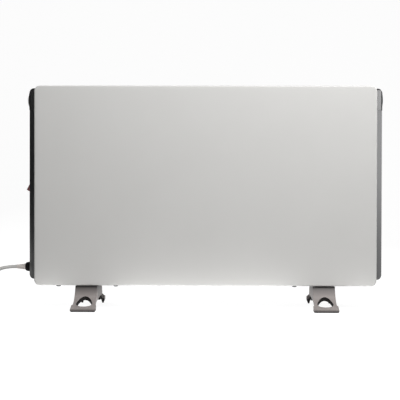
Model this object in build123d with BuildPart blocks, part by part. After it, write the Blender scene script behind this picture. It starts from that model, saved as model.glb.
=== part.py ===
from build123d import *
from math import cos, dist, pi, radians, sin, sqrt, tan
import os

# Wall panel convector heater standing on two cast feet.
# X runs along the panel, Y runs from the front panel to the wall, Z is up, and the floor is Z = 0.
# The origin is on the floor under the middle of the heater. All sizes are millimetres.

os.makedirs("parts", exist_ok=True)

LEFT = -1
RIGHT = 1
GAP = 0.3  # clearance between neighbouring mouldings

# Front panel
PANEL_WIDTH = 685
PANEL_HEIGHT = 400
PANEL_BOTTOM = 46.5
PANEL_FRONT = -37
PANEL_DEPTH = 16
PANEL_WALL = 1.2
PANEL_CORNER = 11.5
PANEL_ROLL = 3
PANEL_LIP = 7
PANEL_TOP = PANEL_BOTTOM + PANEL_HEIGHT
PANEL_BACK = PANEL_FRONT + PANEL_DEPTH
PANEL_MIDDLE = PANEL_BOTTOM + PANEL_HEIGHT / 2
FIXING_X = (-294, -179, 179, 294)  # the panel's upper hooks
PANEL_SCREW_X = (-294, -179, 179)
PANEL_SCREW_Y = PANEL_BACK - 8
PANEL_SCREW_HOLE = 2.3
BRACKET_WIDTH = 26
STRIP = 1.2  # sheet thickness of the small folded brackets

# End covers
CHEEK_X = 355
CHEEK_TOP = 441
CHEEK_BOTTOM = 59
CHEEK_FRONT = -28
CHEEK_BACK = 47
CHEEK_WALL = 2.5
CHEEK_CORNER = 9
CHEEK_BEVEL_X = 343
CHEEK_BEVEL_Y = -12
CHEEK_INNER_X = 320
CHEEK_BACK_ROUND = 10
CHEEK_SHOULDER_X = CHEEK_X - 6  # where the hollow's bevel meets its front wall
POD_BOTTOM = 399
POD_PROUD = 0.6

# Rear shell
COVER_WALL = 1
COVER_WIDTH = 680
COVER_TOP = CHEEK_TOP - CHEEK_WALL - GAP
COVER_BOTTOM = CHEEK_BOTTOM + CHEEK_WALL + GAP
COVER_BACK = CHEEK_BACK - CHEEK_WALL - GAP
COVER_FRONT = -18
COVER_BEND = 4
LOUVRE_LENGTH = 62
LOUVRE_HEIGHT = 9
LOUVRE_DEPTH = 3.2
LOUVRE_COLUMNS = 7
LOUVRE_ROWS = 3
LOUVRE_PITCH_X = 84
LOUVRE_PITCH_Z = 22
LOUVRE_MIDDLE_Z = 112
HANGING_SPACING_X = 400
HANGING_SPACING_Z = 200
HANGING_MIDDLE_Z = 290
HANGING_HOLE = 3.25
INLET_LENGTH = 34
INLET_WIDTH = 5
OUTLET_LENGTH = 600
OUTLET_WIDTH = 44
OUTLET_Y = 12
COVER_SCREW_X = (-312, 312)
COVER_SCREW_Z = (100, 250, 400)
CHEEK_SCREW_X = (-333, 333)
CHEEK_SCREW_Z = (100, 250, 406)  # the highest pair is in the pods
SCREW_PILOT = 1.7
SCREW_CLEARANCE = 2
FOOT_BOLT_HOLE = 2.8

# Controls on the left end
CONTROL_Y = 10
KNOB_Z = 420.4
KNOB_RADIUS = 19
KNOB_DOME = 4.7
KNOB_SEAT = 1.2
KNOB_RIM = 2
SPINDLE_RADIUS = 3
SWITCH_Z = 251
SWITCH_PIVOT_X = 351.5
ROCKER_RADIUS = 17.1
ROCKER_WIDTH = 21
ROCKER_CREST = 3.8
ROCKER_TILT = 14.25
SWITCH_WALL = 1.2
GLAND_Z = 81.2

# Feet
FOOT_X = 238
FOOT_TOP = 45
FOOT_SOLE = 1.5
FOOT_HALF = 22
FOOT_REACH = 103
FOOT_WALL = 4
FOOT_SCREW_Y = (0, 26)

# Mains cord
CORD = 7.2
CORD_PITCH = 7.7
CORD_LIFT = 0.9  # the tie passes under the turns
COIL_X = -513.2
COIL_RADIUS = 49.5
COIL_Z = CORD_LIFT + CORD / 2
COIL_Y = CONTROL_Y - COIL_RADIUS
COIL_UPPER_Z = COIL_Z + CORD_PITCH
SLEEVE_TIP_X = -384
LOWER_HALVES = 5
UPPER_HALVES = 4
PLUG_Z = 18.7


def side_plane(x, side):
    """A plane facing outwards on one end of the heater, its own x along Y and its own y up."""
    return Plane(origin=(side * x, 0, 0), x_dir=(0, side, 0), z_dir=(side, 0, 0))


def end_shell(side, low, high, proud):
    """A length of the end cover: bevelled in front, rounded behind, hollow towards the body."""
    outer = CHEEK_X + proud
    back = CHEEK_BACK + proud
    hollow_low = max(low, CHEEK_BOTTOM + CHEEK_WALL)
    hollow_high = min(high, CHEEK_TOP - CHEEK_WALL)
    with BuildPart() as shell:
        with BuildSketch(Plane.XY.offset(low)):
            with BuildLine():
                Polyline(
                    (side * CHEEK_INNER_X, back),
                    (side * CHEEK_INNER_X, PANEL_BACK + GAP),
                    (side * CHEEK_BEVEL_X, PANEL_BACK + GAP),
                    (side * CHEEK_BEVEL_X, CHEEK_FRONT),
                    (side * outer, CHEEK_BEVEL_Y),
                    (side * outer, back - CHEEK_BACK_ROUND),
                )
                RadiusArc(
                    (side * outer, back - CHEEK_BACK_ROUND),
                    (side * (outer - CHEEK_BACK_ROUND), back),
                    -side * CHEEK_BACK_ROUND,
                )
                Line((side * (outer - CHEEK_BACK_ROUND), back), (side * CHEEK_INNER_X, back))
            make_face()
        extrude(amount=high - low)
        # the outer corners are rounded as seen from the front
        with BuildSketch(Plane.XZ.offset(-back)):
            with Locations((0, (CHEEK_TOP + CHEEK_BOTTOM) / 2)):
                RectangleRounded(2 * outer, CHEEK_TOP - CHEEK_BOTTOM + 2 * proud, CHEEK_CORNER)
        extrude(amount=back - CHEEK_FRONT, mode=Mode.INTERSECT)
        with BuildSketch(Plane.XY.offset(hollow_low)):
            with BuildLine():
                Polyline(
                    (side * (CHEEK_INNER_X - 1), CHEEK_BACK - CHEEK_WALL),
                    (side * (CHEEK_INNER_X - 1), PANEL_BACK + GAP + CHEEK_WALL),
                    (side * CHEEK_SHOULDER_X, PANEL_BACK + GAP + CHEEK_WALL),
                    (side * (CHEEK_X - CHEEK_WALL), CHEEK_BEVEL_Y),
                    (side * (CHEEK_X - CHEEK_WALL), CHEEK_BACK - CHEEK_BACK_ROUND),
                    (side * (CHEEK_X - CHEEK_BACK_ROUND), CHEEK_BACK - CHEEK_WALL),
                    close=True,
                )
            make_face()
        extrude(amount=hollow_high - hollow_low, mode=Mode.SUBTRACT)
    return shell.part


def pan_screw(head_radius, head_height, shank_radius, shank_length):
    """A pan-head screw with its head below the seat and its shank along +Z."""
    with BuildPart() as screw:
        with BuildSketch():
            Circle(head_radius)
        extrude(amount=-head_height)
        chamfer(screw.faces().sort_by(Axis.Z)[0].edges(), head_height * 0.4)
        with BuildSketch():
            Circle(shank_radius)
        extrude(amount=shank_length)
    return screw.part


def folded_strip(points, thickness, width, x):
    """A strip of sheet steel folded in the YZ plane, thick to the left of its points, centred on x."""
    with BuildPart() as strip:
        with BuildSketch(Plane.YZ.offset(x - width / 2)):
            with BuildLine():
                Polyline(*points)
                offset(amount=thickness, side=Side.LEFT, kind=Kind.INTERSECTION)
            make_face()
        extrude(amount=width)
    return strip.part


def dome_cap(radius, rim, dome):
    """A dial cap standing on its rim, its axis along +Z and its dome a slice of a sphere."""
    sphere = (radius**2 + dome**2) / (2 * dome)
    with BuildPart() as cap:
        with BuildSketch(Plane.XZ):
            with BuildLine():
                Polyline((0, rim + dome), (0, 0), (radius, 0), (radius, rim))
                RadiusArc((radius, rim), (0, rim + dome), -sphere)
            make_face()
        revolve(axis=Axis.Z)
    return cap.part


def facing_out(x, z, side):
    """The place of a piece made along +Z that is to face outwards from one end."""
    return Plane(origin=(side * x, CONTROL_Y, z), x_dir=(0, side, 0), z_dir=(side, 0, 0)).location


def bend_radii(route):
    """Each corner's arc: 0.45 of its shorter run over the tangent of half its turn."""
    radii = []
    for before, corner, after in zip(route, route[1:], route[2:]):
        run_in = Vector(*corner) - Vector(*before)
        run_out = Vector(*after) - Vector(*corner)
        half_turn = radians(run_in.get_angle(run_out)) / 2
        radii.append(0.45 * min(run_in.length, run_out.length) / tan(half_turn))
    return radii


def line_length(line_builder):
    """The length of a chain of lines and arcs."""
    return sum(edge.length for edge in line_builder.edges())


def cord_tube(route):
    """A tube of the cord's diameter along a route whose corners are rounded by their own radii."""
    with BuildPart() as tube:
        with BuildLine() as centre:
            FilletPolyline(*route, radius=bend_radii(route))
        with BuildSketch(Plane(origin=centre.line @ 0, z_dir=centre.line % 0)):
            Circle(CORD / 2)
        sweep(path=centre.line)
    return tube.part, line_length(centre)


def coil_joints():
    """The points where the half turns meet, with the back side of the coil first."""
    joints = []
    for half in range(LOWER_HALVES + 1):
        back = 1 if half % 2 == 0 else -1
        joints.append((back * (COIL_RADIUS - half // 2 * CORD_PITCH), COIL_Z))
    joints.append((COIL_RADIUS - (LOWER_HALVES + 1) / 2 * CORD_PITCH, COIL_UPPER_Z))
    for half in range(UPPER_HALVES):
        back = -1 if half % 2 == 0 else 1
        inset = (1 if back < 0 else 2) - half // 2
        joints.append((back * (COIL_RADIUS - inset * CORD_PITCH), COIL_UPPER_Z))
    return [(COIL_X, COIL_Y + reach, z) for reach, z in joints]


def half_turn_crest(start, end, number):
    """The point halfway round a half turn, which bulges left and right by turns."""
    bulge = dist(start, end) / 2
    outwards = LEFT if number % 2 == 0 else RIGHT
    return (COIL_X + outwards * bulge, (start[1] + end[1]) / 2, (start[2] + end[2]) / 2)


def least_gap(joint_list, step_degrees):
    """The smallest space between two turns, measured on points along the coil."""
    points = []
    travelled = 0
    for number, (start, end) in enumerate(zip(joint_list, joint_list[1:])):
        radius = dist(start, end) / 2
        centre = (Vector(*start) + Vector(*end)) / 2
        first = Vector(*start) - centre
        side_way = Vector(radius * (LEFT if number % 2 == 0 else RIGHT), 0, 0)
        for turn in range(0, 180, step_degrees):
            here = centre + first * cos(radians(turn)) + side_way * sin(radians(turn))
            points.append((here, travelled + radius * radians(turn)))
        travelled += pi * radius
    gap = 1000
    for index, (here, along) in enumerate(points):
        for other, other_along in points[index + 1 :]:
            if other_along - along > 3 * CORD:
                gap = min(gap, (here - other).length - CORD)
    return gap


# ---------------------------------------------------------------- front panel
with BuildPart() as front_panel:
    with BuildSketch(Plane.XZ.offset(-PANEL_FRONT)):
        with Locations((0, PANEL_MIDDLE)):
            RectangleRounded(PANEL_WIDTH, PANEL_HEIGHT, PANEL_CORNER)
    extrude(amount=-PANEL_DEPTH)
    fillet(front_panel.faces().sort_by(Axis.Y)[0].edges(), PANEL_ROLL)
    offset(amount=-PANEL_WALL, openings=front_panel.faces().sort_by(Axis.Y)[-1])
    # the lip turned inwards along the back of the rim
    with BuildSketch(Plane.XZ.offset(-PANEL_BACK)):
        with Locations((0, PANEL_MIDDLE)):
            RectangleRounded(PANEL_WIDTH, PANEL_HEIGHT, PANEL_CORNER)
            RectangleRounded(
                PANEL_WIDTH - 2 * PANEL_LIP,
                PANEL_HEIGHT - 2 * PANEL_LIP,
                PANEL_CORNER - PANEL_LIP,
                mode=Mode.SUBTRACT,
            )
    extrude(amount=PANEL_WALL)
    # holes for the lower screws
    with BuildSketch(Plane.XY.offset(PANEL_BOTTOM)):
        with Locations(*[(x, PANEL_SCREW_Y) for x in PANEL_SCREW_X]):
            Circle(PANEL_SCREW_HOLE)
    extrude(amount=PANEL_WALL, mode=Mode.SUBTRACT)
front_panel.part.label = "front_panel"
export_step(front_panel.part, "parts/front_panel.step")

# brackets that carry the panel's lower edge, one over each screw
bracket_path = (
    (PANEL_FRONT + PANEL_ROLL + 1, PANEL_BOTTOM + PANEL_WALL),
    (PANEL_BACK - 3, PANEL_BOTTOM + PANEL_WALL),
    (PANEL_BACK - 3, COVER_BOTTOM - STRIP),
    (COVER_FRONT + 14, COVER_BOTTOM - STRIP),
)
with BuildPart() as panel_brackets:
    for x in PANEL_SCREW_X:
        add(folded_strip(bracket_path, STRIP, BRACKET_WIDTH, x))
    with BuildSketch(Plane.XY.offset(PANEL_BOTTOM + PANEL_WALL)):
        with Locations(*[(x, PANEL_SCREW_Y) for x in PANEL_SCREW_X]):
            Circle(PANEL_SCREW_HOLE - 0.2)
    extrude(amount=STRIP, mode=Mode.SUBTRACT)
panel_brackets.part.label = "panel_brackets"
export_step(panel_brackets.part, "parts/panel_brackets.step")

# hooks under the top of the rear shell that hold the panel's upper lip
hook_path = (
    (COVER_FRONT + 7, COVER_TOP - COVER_WALL),
    (PANEL_BACK - 3, COVER_TOP - COVER_WALL),
    (PANEL_BACK - 3, PANEL_TOP - 4),
)
with BuildPart() as panel_hooks:
    for x in FIXING_X:
        add(folded_strip(hook_path, STRIP, BRACKET_WIDTH, x))
panel_hooks.part.label = "panel_hooks"
export_step(panel_hooks.part, "parts/panel_hooks.step")

with BuildPart() as panel_screws:
    for x in PANEL_SCREW_X:
        add(pan_screw(4.5, 2.5, 2, 8).moved(Location((x, PANEL_SCREW_Y, PANEL_BOTTOM))))
panel_screws.part.label = "panel_screws"
export_step(panel_screws.part, "parts/panel_screws.step")

# ---------------------------------------------------------------- rear shell
# one pressed louvre: a shallow hood, open below, over a slot in the back
with BuildPart() as louvre_hood:
    with BuildSketch(Plane.YZ.offset(-LOUVRE_LENGTH / 2)):
        with BuildLine():
            Polyline(
                (-COVER_WALL, LOUVRE_HEIGHT / 2),
                (0, LOUVRE_HEIGHT / 2),
                (LOUVRE_DEPTH, -LOUVRE_HEIGHT / 2 + 3),
                (LOUVRE_DEPTH, -LOUVRE_HEIGHT / 2),
                (-COVER_WALL, -LOUVRE_HEIGHT / 2),
                close=True,
            )
        make_face()
    extrude(amount=LOUVRE_LENGTH)
    chamfer(
        louvre_hood.edges().filter_by(Axis.Z).sort_by(Axis.Y)[-2:],
        LOUVRE_DEPTH * 0.8,
    )

with BuildPart() as louvre_void:
    with BuildSketch(Plane.YZ.offset(-LOUVRE_LENGTH / 2 + 2.4)):
        with BuildLine():
            Polyline(
                (-2 * COVER_WALL, LOUVRE_HEIGHT / 2 - 1.2),
                (0, LOUVRE_HEIGHT / 2 - 1.2),
                (LOUVRE_DEPTH - 0.9, -LOUVRE_HEIGHT / 2 + 2.6),
                (LOUVRE_DEPTH - 0.9, -LOUVRE_HEIGHT / 2 - 1),
                (0, -LOUVRE_HEIGHT / 2 - 1),
                (0, -LOUVRE_HEIGHT / 2 + 1),
                (-2 * COVER_WALL, -LOUVRE_HEIGHT / 2 + 1),
                close=True,
            )
        make_face()
    extrude(amount=LOUVRE_LENGTH - 4.8)

with BuildPart() as rear_cover:
    with BuildSketch(Plane.YZ.offset(-COVER_WIDTH / 2)):
        with Locations(((COVER_FRONT + COVER_BACK) / 2, (COVER_TOP + COVER_BOTTOM) / 2)):
            Rectangle(COVER_BACK - COVER_FRONT, COVER_TOP - COVER_BOTTOM)
    extrude(amount=COVER_WIDTH)
    fillet(rear_cover.edges().filter_by(Axis.X).group_by(Axis.Y)[-1], COVER_BEND)
    offset(
        amount=-COVER_WALL,
        openings=[
            rear_cover.faces().sort_by(Axis.Y)[0],
            rear_cover.faces().sort_by(Axis.X)[0],
            rear_cover.faces().sort_by(Axis.X)[-1],
        ],
    )
    louvre_places = GridLocations(LOUVRE_PITCH_X, LOUVRE_PITCH_Z, LOUVRE_COLUMNS, LOUVRE_ROWS).locations
    for place in louvre_places:
        at = Location((place.position.X, COVER_BACK, LOUVRE_MIDDLE_Z + place.position.Y))
        add(louvre_hood.part.moved(at))
        add(louvre_void.part.moved(at), mode=Mode.SUBTRACT)
    # holes for the wall bracket's four screws
    with BuildSketch(Plane.XZ.offset(-COVER_BACK)):
        with Locations((0, HANGING_MIDDLE_Z)):
            with GridLocations(HANGING_SPACING_X, HANGING_SPACING_Z, 2, 2):
                Circle(HANGING_HOLE)
        with Locations(*[(x, z) for x in COVER_SCREW_X for z in COVER_SCREW_Z]):
            Circle(SCREW_PILOT)
        with Locations(*[(x, z) for x in CHEEK_SCREW_X for z in CHEEK_SCREW_Z]):
            Circle(SCREW_PILOT)
    extrude(amount=COVER_WALL, mode=Mode.SUBTRACT)
    # inlet slots between the feet, foot bolt holes and the outlet opening
    with BuildSketch(Plane.XY.offset(COVER_BOTTOM)):
        with Locations((0, OUTLET_Y)):
            with GridLocations(INLET_LENGTH + 8, INLET_WIDTH * 2.4, 9, 3):
                SlotOverall(INLET_LENGTH, INLET_WIDTH)
        with Locations(*[(side * FOOT_X, y) for side in (LEFT, RIGHT) for y in FOOT_SCREW_Y]):
            Circle(FOOT_BOLT_HOLE)
    extrude(amount=COVER_WALL, mode=Mode.SUBTRACT)
    with BuildSketch(Plane.XY.offset(COVER_TOP)):
        with Locations((0, OUTLET_Y)):
            Rectangle(OUTLET_LENGTH, OUTLET_WIDTH)
    extrude(amount=-COVER_WALL, mode=Mode.SUBTRACT)
rear_cover.part.label = "rear_cover"
export_step(rear_cover.part, "parts/rear_cover.step")

# ---------------------------------------------------------------- outlet grille
GRILLE_FLANGE = 5
GRILLE_THICK = 1.4
GRILLE_DROP = 11
GRILLE_BLADES = 4
GRILLE_BLADE_PITCH = 9.6
GRILLE_BLADE_LEAN = 32
GRILLE_RIBS = 11
with BuildPart() as outlet_grille:
    with BuildSketch(Plane.XY.offset(COVER_TOP)):
        with Locations((0, OUTLET_Y)):
            RectangleRounded(OUTLET_LENGTH + 2 * GRILLE_FLANGE, OUTLET_WIDTH + 2 * GRILLE_FLANGE, 3)
            Rectangle(OUTLET_LENGTH - 4, OUTLET_WIDTH - 4, mode=Mode.SUBTRACT)
    extrude(amount=GRILLE_THICK)
    with BuildSketch(Plane.XY.offset(COVER_TOP + GRILLE_THICK)):
        with Locations((0, OUTLET_Y)):
            Rectangle(OUTLET_LENGTH - 1, OUTLET_WIDTH - 1)
            Rectangle(OUTLET_LENGTH - 4, OUTLET_WIDTH - 4, mode=Mode.SUBTRACT)
    extrude(amount=-GRILLE_DROP)
    # leaning blades along the opening, held by short ribs across it
    with BuildSketch(Plane.YZ.offset(-OUTLET_LENGTH / 2 + 1.5)):
        with Locations((OUTLET_Y, COVER_TOP + GRILLE_THICK - GRILLE_DROP / 2 - 0.3)):
            with GridLocations(GRILLE_BLADE_PITCH, 1, GRILLE_BLADES, 1):
                Rectangle(1.3, GRILLE_DROP, rotation=GRILLE_BLADE_LEAN)
    extrude(amount=OUTLET_LENGTH - 3)
    with BuildSketch(Plane.XY.offset(COVER_TOP + GRILLE_THICK - 1.5)):
        with Locations((0, OUTLET_Y)):
            with GridLocations(OUTLET_LENGTH / (GRILLE_RIBS + 1), 1, GRILLE_RIBS, 1):
                Rectangle(1.6, OUTLET_WIDTH - 3)
    extrude(amount=-GRILLE_DROP + 3)
outlet_grille.part.label = "outlet_grille"
export_step(outlet_grille.part, "parts/outlet_grille.step")

# ---------------------------------------------------------------- end covers
for side, side_name in ((LEFT, "left"), (RIGHT, "right")):
    with BuildPart() as cheek:
        add(end_shell(side, CHEEK_BOTTOM, POD_BOTTOM - GAP, 0))
        if side == LEFT:
            with BuildSketch(side_plane(CHEEK_X, side)):
                with Locations((side * CONTROL_Y, SWITCH_Z)):
                    Rectangle(ROCKER_WIDTH + 4, 2 * ROCKER_RADIUS + 4)
                with Locations((side * CONTROL_Y, GLAND_Z)):
                    Circle(6.3)
            extrude(amount=-2 * CHEEK_WALL, mode=Mode.SUBTRACT)
        # screw holes in the strip behind
        with BuildSketch(Plane.XZ.offset(-CHEEK_BACK)):
            with Locations(*[(side * CHEEK_SCREW_X[1], z) for z in CHEEK_SCREW_Z[:2]]):
                Circle(SCREW_CLEARANCE)
        extrude(amount=CHEEK_WALL, mode=Mode.SUBTRACT)
    cheek.part.label = f"{side_name}_cheek"
    export_step(cheek.part, f"parts/{side_name}_cheek.step")

    with BuildPart() as pod:
        add(end_shell(side, POD_BOTTOM, CHEEK_TOP + POD_PROUD, POD_PROUD))
        # round seat for the knob or its blank counterpart
        with BuildSketch(side_plane(CHEEK_X + POD_PROUD, side)):
            with Locations((side * CONTROL_Y, KNOB_Z)):
                Circle(KNOB_RADIUS + 0.6)
        extrude(amount=-KNOB_SEAT, mode=Mode.SUBTRACT)
        with BuildSketch(side_plane(CHEEK_X + POD_PROUD, side)):
            with Locations((side * CONTROL_Y, KNOB_Z)):
                Circle(5.3)
        extrude(amount=-2 * CHEEK_WALL, mode=Mode.SUBTRACT)
        with BuildSketch(Plane.XZ.offset(-CHEEK_BACK - POD_PROUD)):
            with Locations((side * CHEEK_SCREW_X[1], CHEEK_SCREW_Z[2])):
                Circle(SCREW_CLEARANCE)
        extrude(amount=CHEEK_WALL + POD_PROUD, mode=Mode.SUBTRACT)
    pod.part.label = f"{side_name}_pod"
    export_step(pod.part, f"parts/{side_name}_pod.step")

with BuildPart() as cheek_screws:
    for x in CHEEK_SCREW_X:
        for z in CHEEK_SCREW_Z:
            back = CHEEK_BACK + (POD_PROUD if z > POD_BOTTOM else 0)
            add(pan_screw(3.8, 2.2, 1.5, 10).moved(Location((x, back, z), (90, 0, 0))))
cheek_screws.part.label = "cheek_screws"
export_step(cheek_screws.part, "parts/cheek_screws.step")

with BuildPart() as cover_screws:
    for x in COVER_SCREW_X:
        for z in COVER_SCREW_Z:
            add(pan_screw(3.8, 2.2, 1.5, 8).moved(Location((x, COVER_BACK, z), (90, 0, 0))))
cover_screws.part.label = "cover_screws"
export_step(cover_screws.part, "parts/cover_screws.step")

# ---------------------------------------------------------------- thermostat
KNOB_BASE_X = CHEEK_X + POD_PROUD - KNOB_SEAT + GAP


# the knob has finger notches round its rim, a bore for the spindle and a pointer groove
with BuildPart() as thermostat_knob:
    add(dome_cap(KNOB_RADIUS, KNOB_RIM, KNOB_DOME))
    with PolarLocations(KNOB_RADIUS + 0.9, 24):
        Cylinder(1.7, 2 * KNOB_RIM + 3, mode=Mode.SUBTRACT)
    with BuildSketch():
        Circle(SPINDLE_RADIUS + 0.02)
    extrude(amount=3.5, mode=Mode.SUBTRACT)
    with BuildSketch(Plane.XY.offset(KNOB_RIM + KNOB_DOME)):
        with Locations((0, KNOB_RADIUS * 0.7)):
            SlotOverall(KNOB_RADIUS * 0.55, 1.6, rotation=90)
    extrude(amount=-KNOB_DOME * 0.75, mode=Mode.SUBTRACT)
thermostat_knob.part = thermostat_knob.part.moved(facing_out(KNOB_BASE_X, KNOB_Z, LEFT))
thermostat_knob.part.label = "thermostat_knob"
export_step(thermostat_knob.part, "parts/thermostat_knob.step")

with BuildPart() as blank_dial:
    add(dome_cap(KNOB_RADIUS, KNOB_RIM, 2.4))
blank_dial.part = blank_dial.part.moved(facing_out(KNOB_BASE_X - GAP, KNOB_Z, RIGHT))
blank_dial.part.label = "blank_dial"
export_step(blank_dial.part, "parts/blank_dial.step")

THERMOSTAT_BACK_X = 331
THERMOSTAT_FRONT_X = 347
with BuildPart() as thermostat_body:
    with BuildSketch(side_plane(THERMOSTAT_BACK_X, LEFT)):
        with Locations((-CONTROL_Y, KNOB_Z)):
            RectangleRounded(34, 28, 3)
    extrude(amount=THERMOSTAT_FRONT_X - THERMOSTAT_BACK_X)
    with BuildSketch(side_plane(THERMOSTAT_FRONT_X, LEFT)):
        with Locations((-CONTROL_Y, KNOB_Z)):
            Circle(5)
    extrude(amount=CHEEK_X - THERMOSTAT_FRONT_X - 1)
    with BuildSketch(side_plane(CHEEK_X - 1, LEFT)):
        with Locations((-CONTROL_Y, KNOB_Z)):
            Circle(SPINDLE_RADIUS + 0.05)
    extrude(amount=-(CHEEK_X - THERMOSTAT_FRONT_X + 5), mode=Mode.SUBTRACT)
thermostat_body.part.label = "thermostat_body"
export_step(thermostat_body.part, "parts/thermostat_body.step")

with BuildPart() as thermostat_spindle:
    with BuildSketch(side_plane(THERMOSTAT_FRONT_X - 2, LEFT)):
        with Locations((-CONTROL_Y, KNOB_Z)):
            Circle(SPINDLE_RADIUS)
    extrude(amount=KNOB_BASE_X + 3.2 - (THERMOSTAT_FRONT_X - 2))
thermostat_spindle.part.label = "thermostat_spindle"
export_step(thermostat_spindle.part, "parts/thermostat_spindle.step")

# the sensing bulb lies in the air drawn in below, at the end of a thin capillary tube
BULB_Z = 76
BULB_Y = 32
bulb_route = [
    (-339, 24, KNOB_Z - 15.5),
    (-339, 30, KNOB_Z - 40),
    (-339, BULB_Y, 240),
    (-339, BULB_Y, BULB_Z),
    (-312, BULB_Y, BULB_Z),
]
with BuildPart() as thermostat_bulb:
    with BuildLine() as capillary:
        FilletPolyline(*bulb_route, radius=8)
    with BuildSketch(Plane(origin=capillary.line @ 0, z_dir=capillary.line % 0)):
        Circle(0.9)
    sweep()
    with BuildSketch(Plane.YZ.offset(-312)):
        with Locations((BULB_Y, BULB_Z)):
            Circle(3.2)
    extrude(amount=70)
thermostat_bulb.part.label = "thermostat_bulb"
export_step(thermostat_bulb.part, "parts/thermostat_bulb.step")

# ---------------------------------------------------------------- switch
SWITCH_BACK_X = 341
SWITCH_BEZEL = 1.4
ROCKER_FLAT = -1.5  # the rocker's inner face, measured outwards from the pivot
tip_reach = -ROCKER_CREST * sin(radians(ROCKER_TILT)) + sqrt(
    ROCKER_RADIUS**2 - (ROCKER_CREST * cos(radians(ROCKER_TILT))) ** 2
)
tip_out = ROCKER_CREST + tip_reach * sin(radians(ROCKER_TILT))
tip_up = tip_reach * cos(radians(ROCKER_TILT))
flat_up = sqrt(ROCKER_RADIUS**2 - ROCKER_FLAT**2)

with BuildPart() as switch_rocker:
    # drawn with x outwards and y up round the pivot, then tilted so that the lower end stands out
    with BuildSketch():
        with BuildLine():
            Polyline((tip_out, tip_up), (ROCKER_CREST, 0), (tip_out, -tip_up))
            RadiusArc((tip_out, -tip_up), (ROCKER_FLAT, -flat_up), ROCKER_RADIUS)
            Polyline((ROCKER_FLAT, -flat_up), (ROCKER_FLAT, -4), (-6, -2.5), (-6, 2.5), (ROCKER_FLAT, 4))
            Line((ROCKER_FLAT, 4), (ROCKER_FLAT, flat_up))
            RadiusArc((ROCKER_FLAT, flat_up), (tip_out, tip_up), ROCKER_RADIUS)
        make_face()
    extrude(amount=ROCKER_WIDTH / 2, both=True)
    Cylinder(1.5, ROCKER_WIDTH + 2)
rocker_plane = Plane(
    origin=(-SWITCH_PIVOT_X, CONTROL_Y, SWITCH_Z),
    x_dir=(-cos(radians(ROCKER_TILT)), 0, sin(radians(ROCKER_TILT))),
    z_dir=(0, 1, 0),
)
switch_rocker.part = switch_rocker.part.moved(rocker_plane.location)
switch_rocker.part.label = "switch_rocker"
export_step(switch_rocker.part, "parts/switch_rocker.step")

with BuildPart() as switch_housing:
    with BuildSketch(side_plane(SWITCH_BACK_X, LEFT)):
        with Locations((-CONTROL_Y, SWITCH_Z)):
            Rectangle(ROCKER_WIDTH + 3.2, 2 * ROCKER_RADIUS + 3)
    extrude(amount=CHEEK_X - SWITCH_BACK_X)
    with BuildSketch(side_plane(CHEEK_X, LEFT)):
        with Locations((-CONTROL_Y, SWITCH_Z)):
            RectangleRounded(ROCKER_WIDTH + 6, 2 * ROCKER_RADIUS + 6, 2)
    extrude(amount=SWITCH_BEZEL)
    chamfer(switch_housing.faces().sort_by(Axis.X)[0].edges(), 0.6)
    with BuildSketch(side_plane(SWITCH_BACK_X + SWITCH_WALL, LEFT)):
        with Locations((-CONTROL_Y, SWITCH_Z)):
            Rectangle(ROCKER_WIDTH + 0.7, 2 * ROCKER_RADIUS + 0.7)
    extrude(amount=CHEEK_X, mode=Mode.SUBTRACT)
    with Locations(Location((-SWITCH_PIVOT_X, CONTROL_Y, SWITCH_Z), (90, 0, 0))):
        Cylinder(1.55, ROCKER_WIDTH + 2.4, mode=Mode.SUBTRACT)
switch_housing.part.label = "switch_housing"
export_step(switch_housing.part, "parts/switch_housing.step")

with BuildPart() as switch_terminals:
    with BuildSketch(side_plane(SWITCH_BACK_X, LEFT)):
        with Locations((-CONTROL_Y, SWITCH_Z)):
            with GridLocations(10, 11, 2, 2):
                Rectangle(0.8, 6.3)
    extrude(amount=-8)
switch_terminals.part.label = "switch_terminals"
export_step(switch_terminals.part, "parts/switch_terminals.step")

# ---------------------------------------------------------------- cord gland and sleeve
GLAND_NECK_X = 361
GLAND_LIP_X = 366
GLAND_RADIUS = 9.5
SLEEVE_BASE_X = 361.3
SLEEVE_BASE = 6.25
SLEEVE_TIP = 4.1

with BuildPart() as cable_gland:
    with BuildSketch(Plane.XZ):
        with BuildLine():
            Polyline(
                (CHEEK_X - 12, 4.6),
                (CHEEK_X - 12, 6),
                (CHEEK_X, 6),
                (CHEEK_X, GLAND_RADIUS),
                (GLAND_NECK_X, GLAND_RADIUS),
            )
            RadiusArc((GLAND_NECK_X, GLAND_RADIUS), (GLAND_LIP_X, 7.4), 9)
            Polyline(
                (GLAND_LIP_X, 7.4),
                (GLAND_LIP_X, 6.4),
                (GLAND_NECK_X, 6.4),
                (GLAND_NECK_X, 4.6),
                (CHEEK_X - 12, 4.6),
            )
        make_face()
    revolve(axis=Axis.X)
gland_place = Location((0, CONTROL_Y, GLAND_Z), (0, 0, 180))
cable_gland.part = cable_gland.part.moved(gland_place)
cable_gland.part.label = "cable_gland"
export_step(cable_gland.part, "parts/cable_gland.step")

with BuildPart() as gland_nut:
    with BuildSketch(side_plane(CHEEK_X - CHEEK_WALL, LEFT)):
        with Locations((-CONTROL_Y, GLAND_Z)):
            RegularPolygon(10, 6)
            Circle(6.05, mode=Mode.SUBTRACT)
    extrude(amount=-4)
gland_nut.part.label = "gland_nut"
export_step(gland_nut.part, "parts/gland_nut.step")

with BuildPart() as strain_relief:
    with BuildSketch(Plane.XZ):
        with BuildLine():
            Polyline(
                (-SLEEVE_TIP_X, 0),
                (SLEEVE_BASE_X, 0),
                (SLEEVE_BASE_X, SLEEVE_BASE),
                (GLAND_LIP_X + 1, SLEEVE_BASE),
                (-SLEEVE_TIP_X, SLEEVE_TIP),
                close=True,
            )
        make_face()
    revolve(axis=Axis.X)
strain_relief.part = strain_relief.part.moved(gland_place)
strain_relief.part.label = "strain_relief"
export_step(strain_relief.part, "parts/strain_relief.step")

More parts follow.
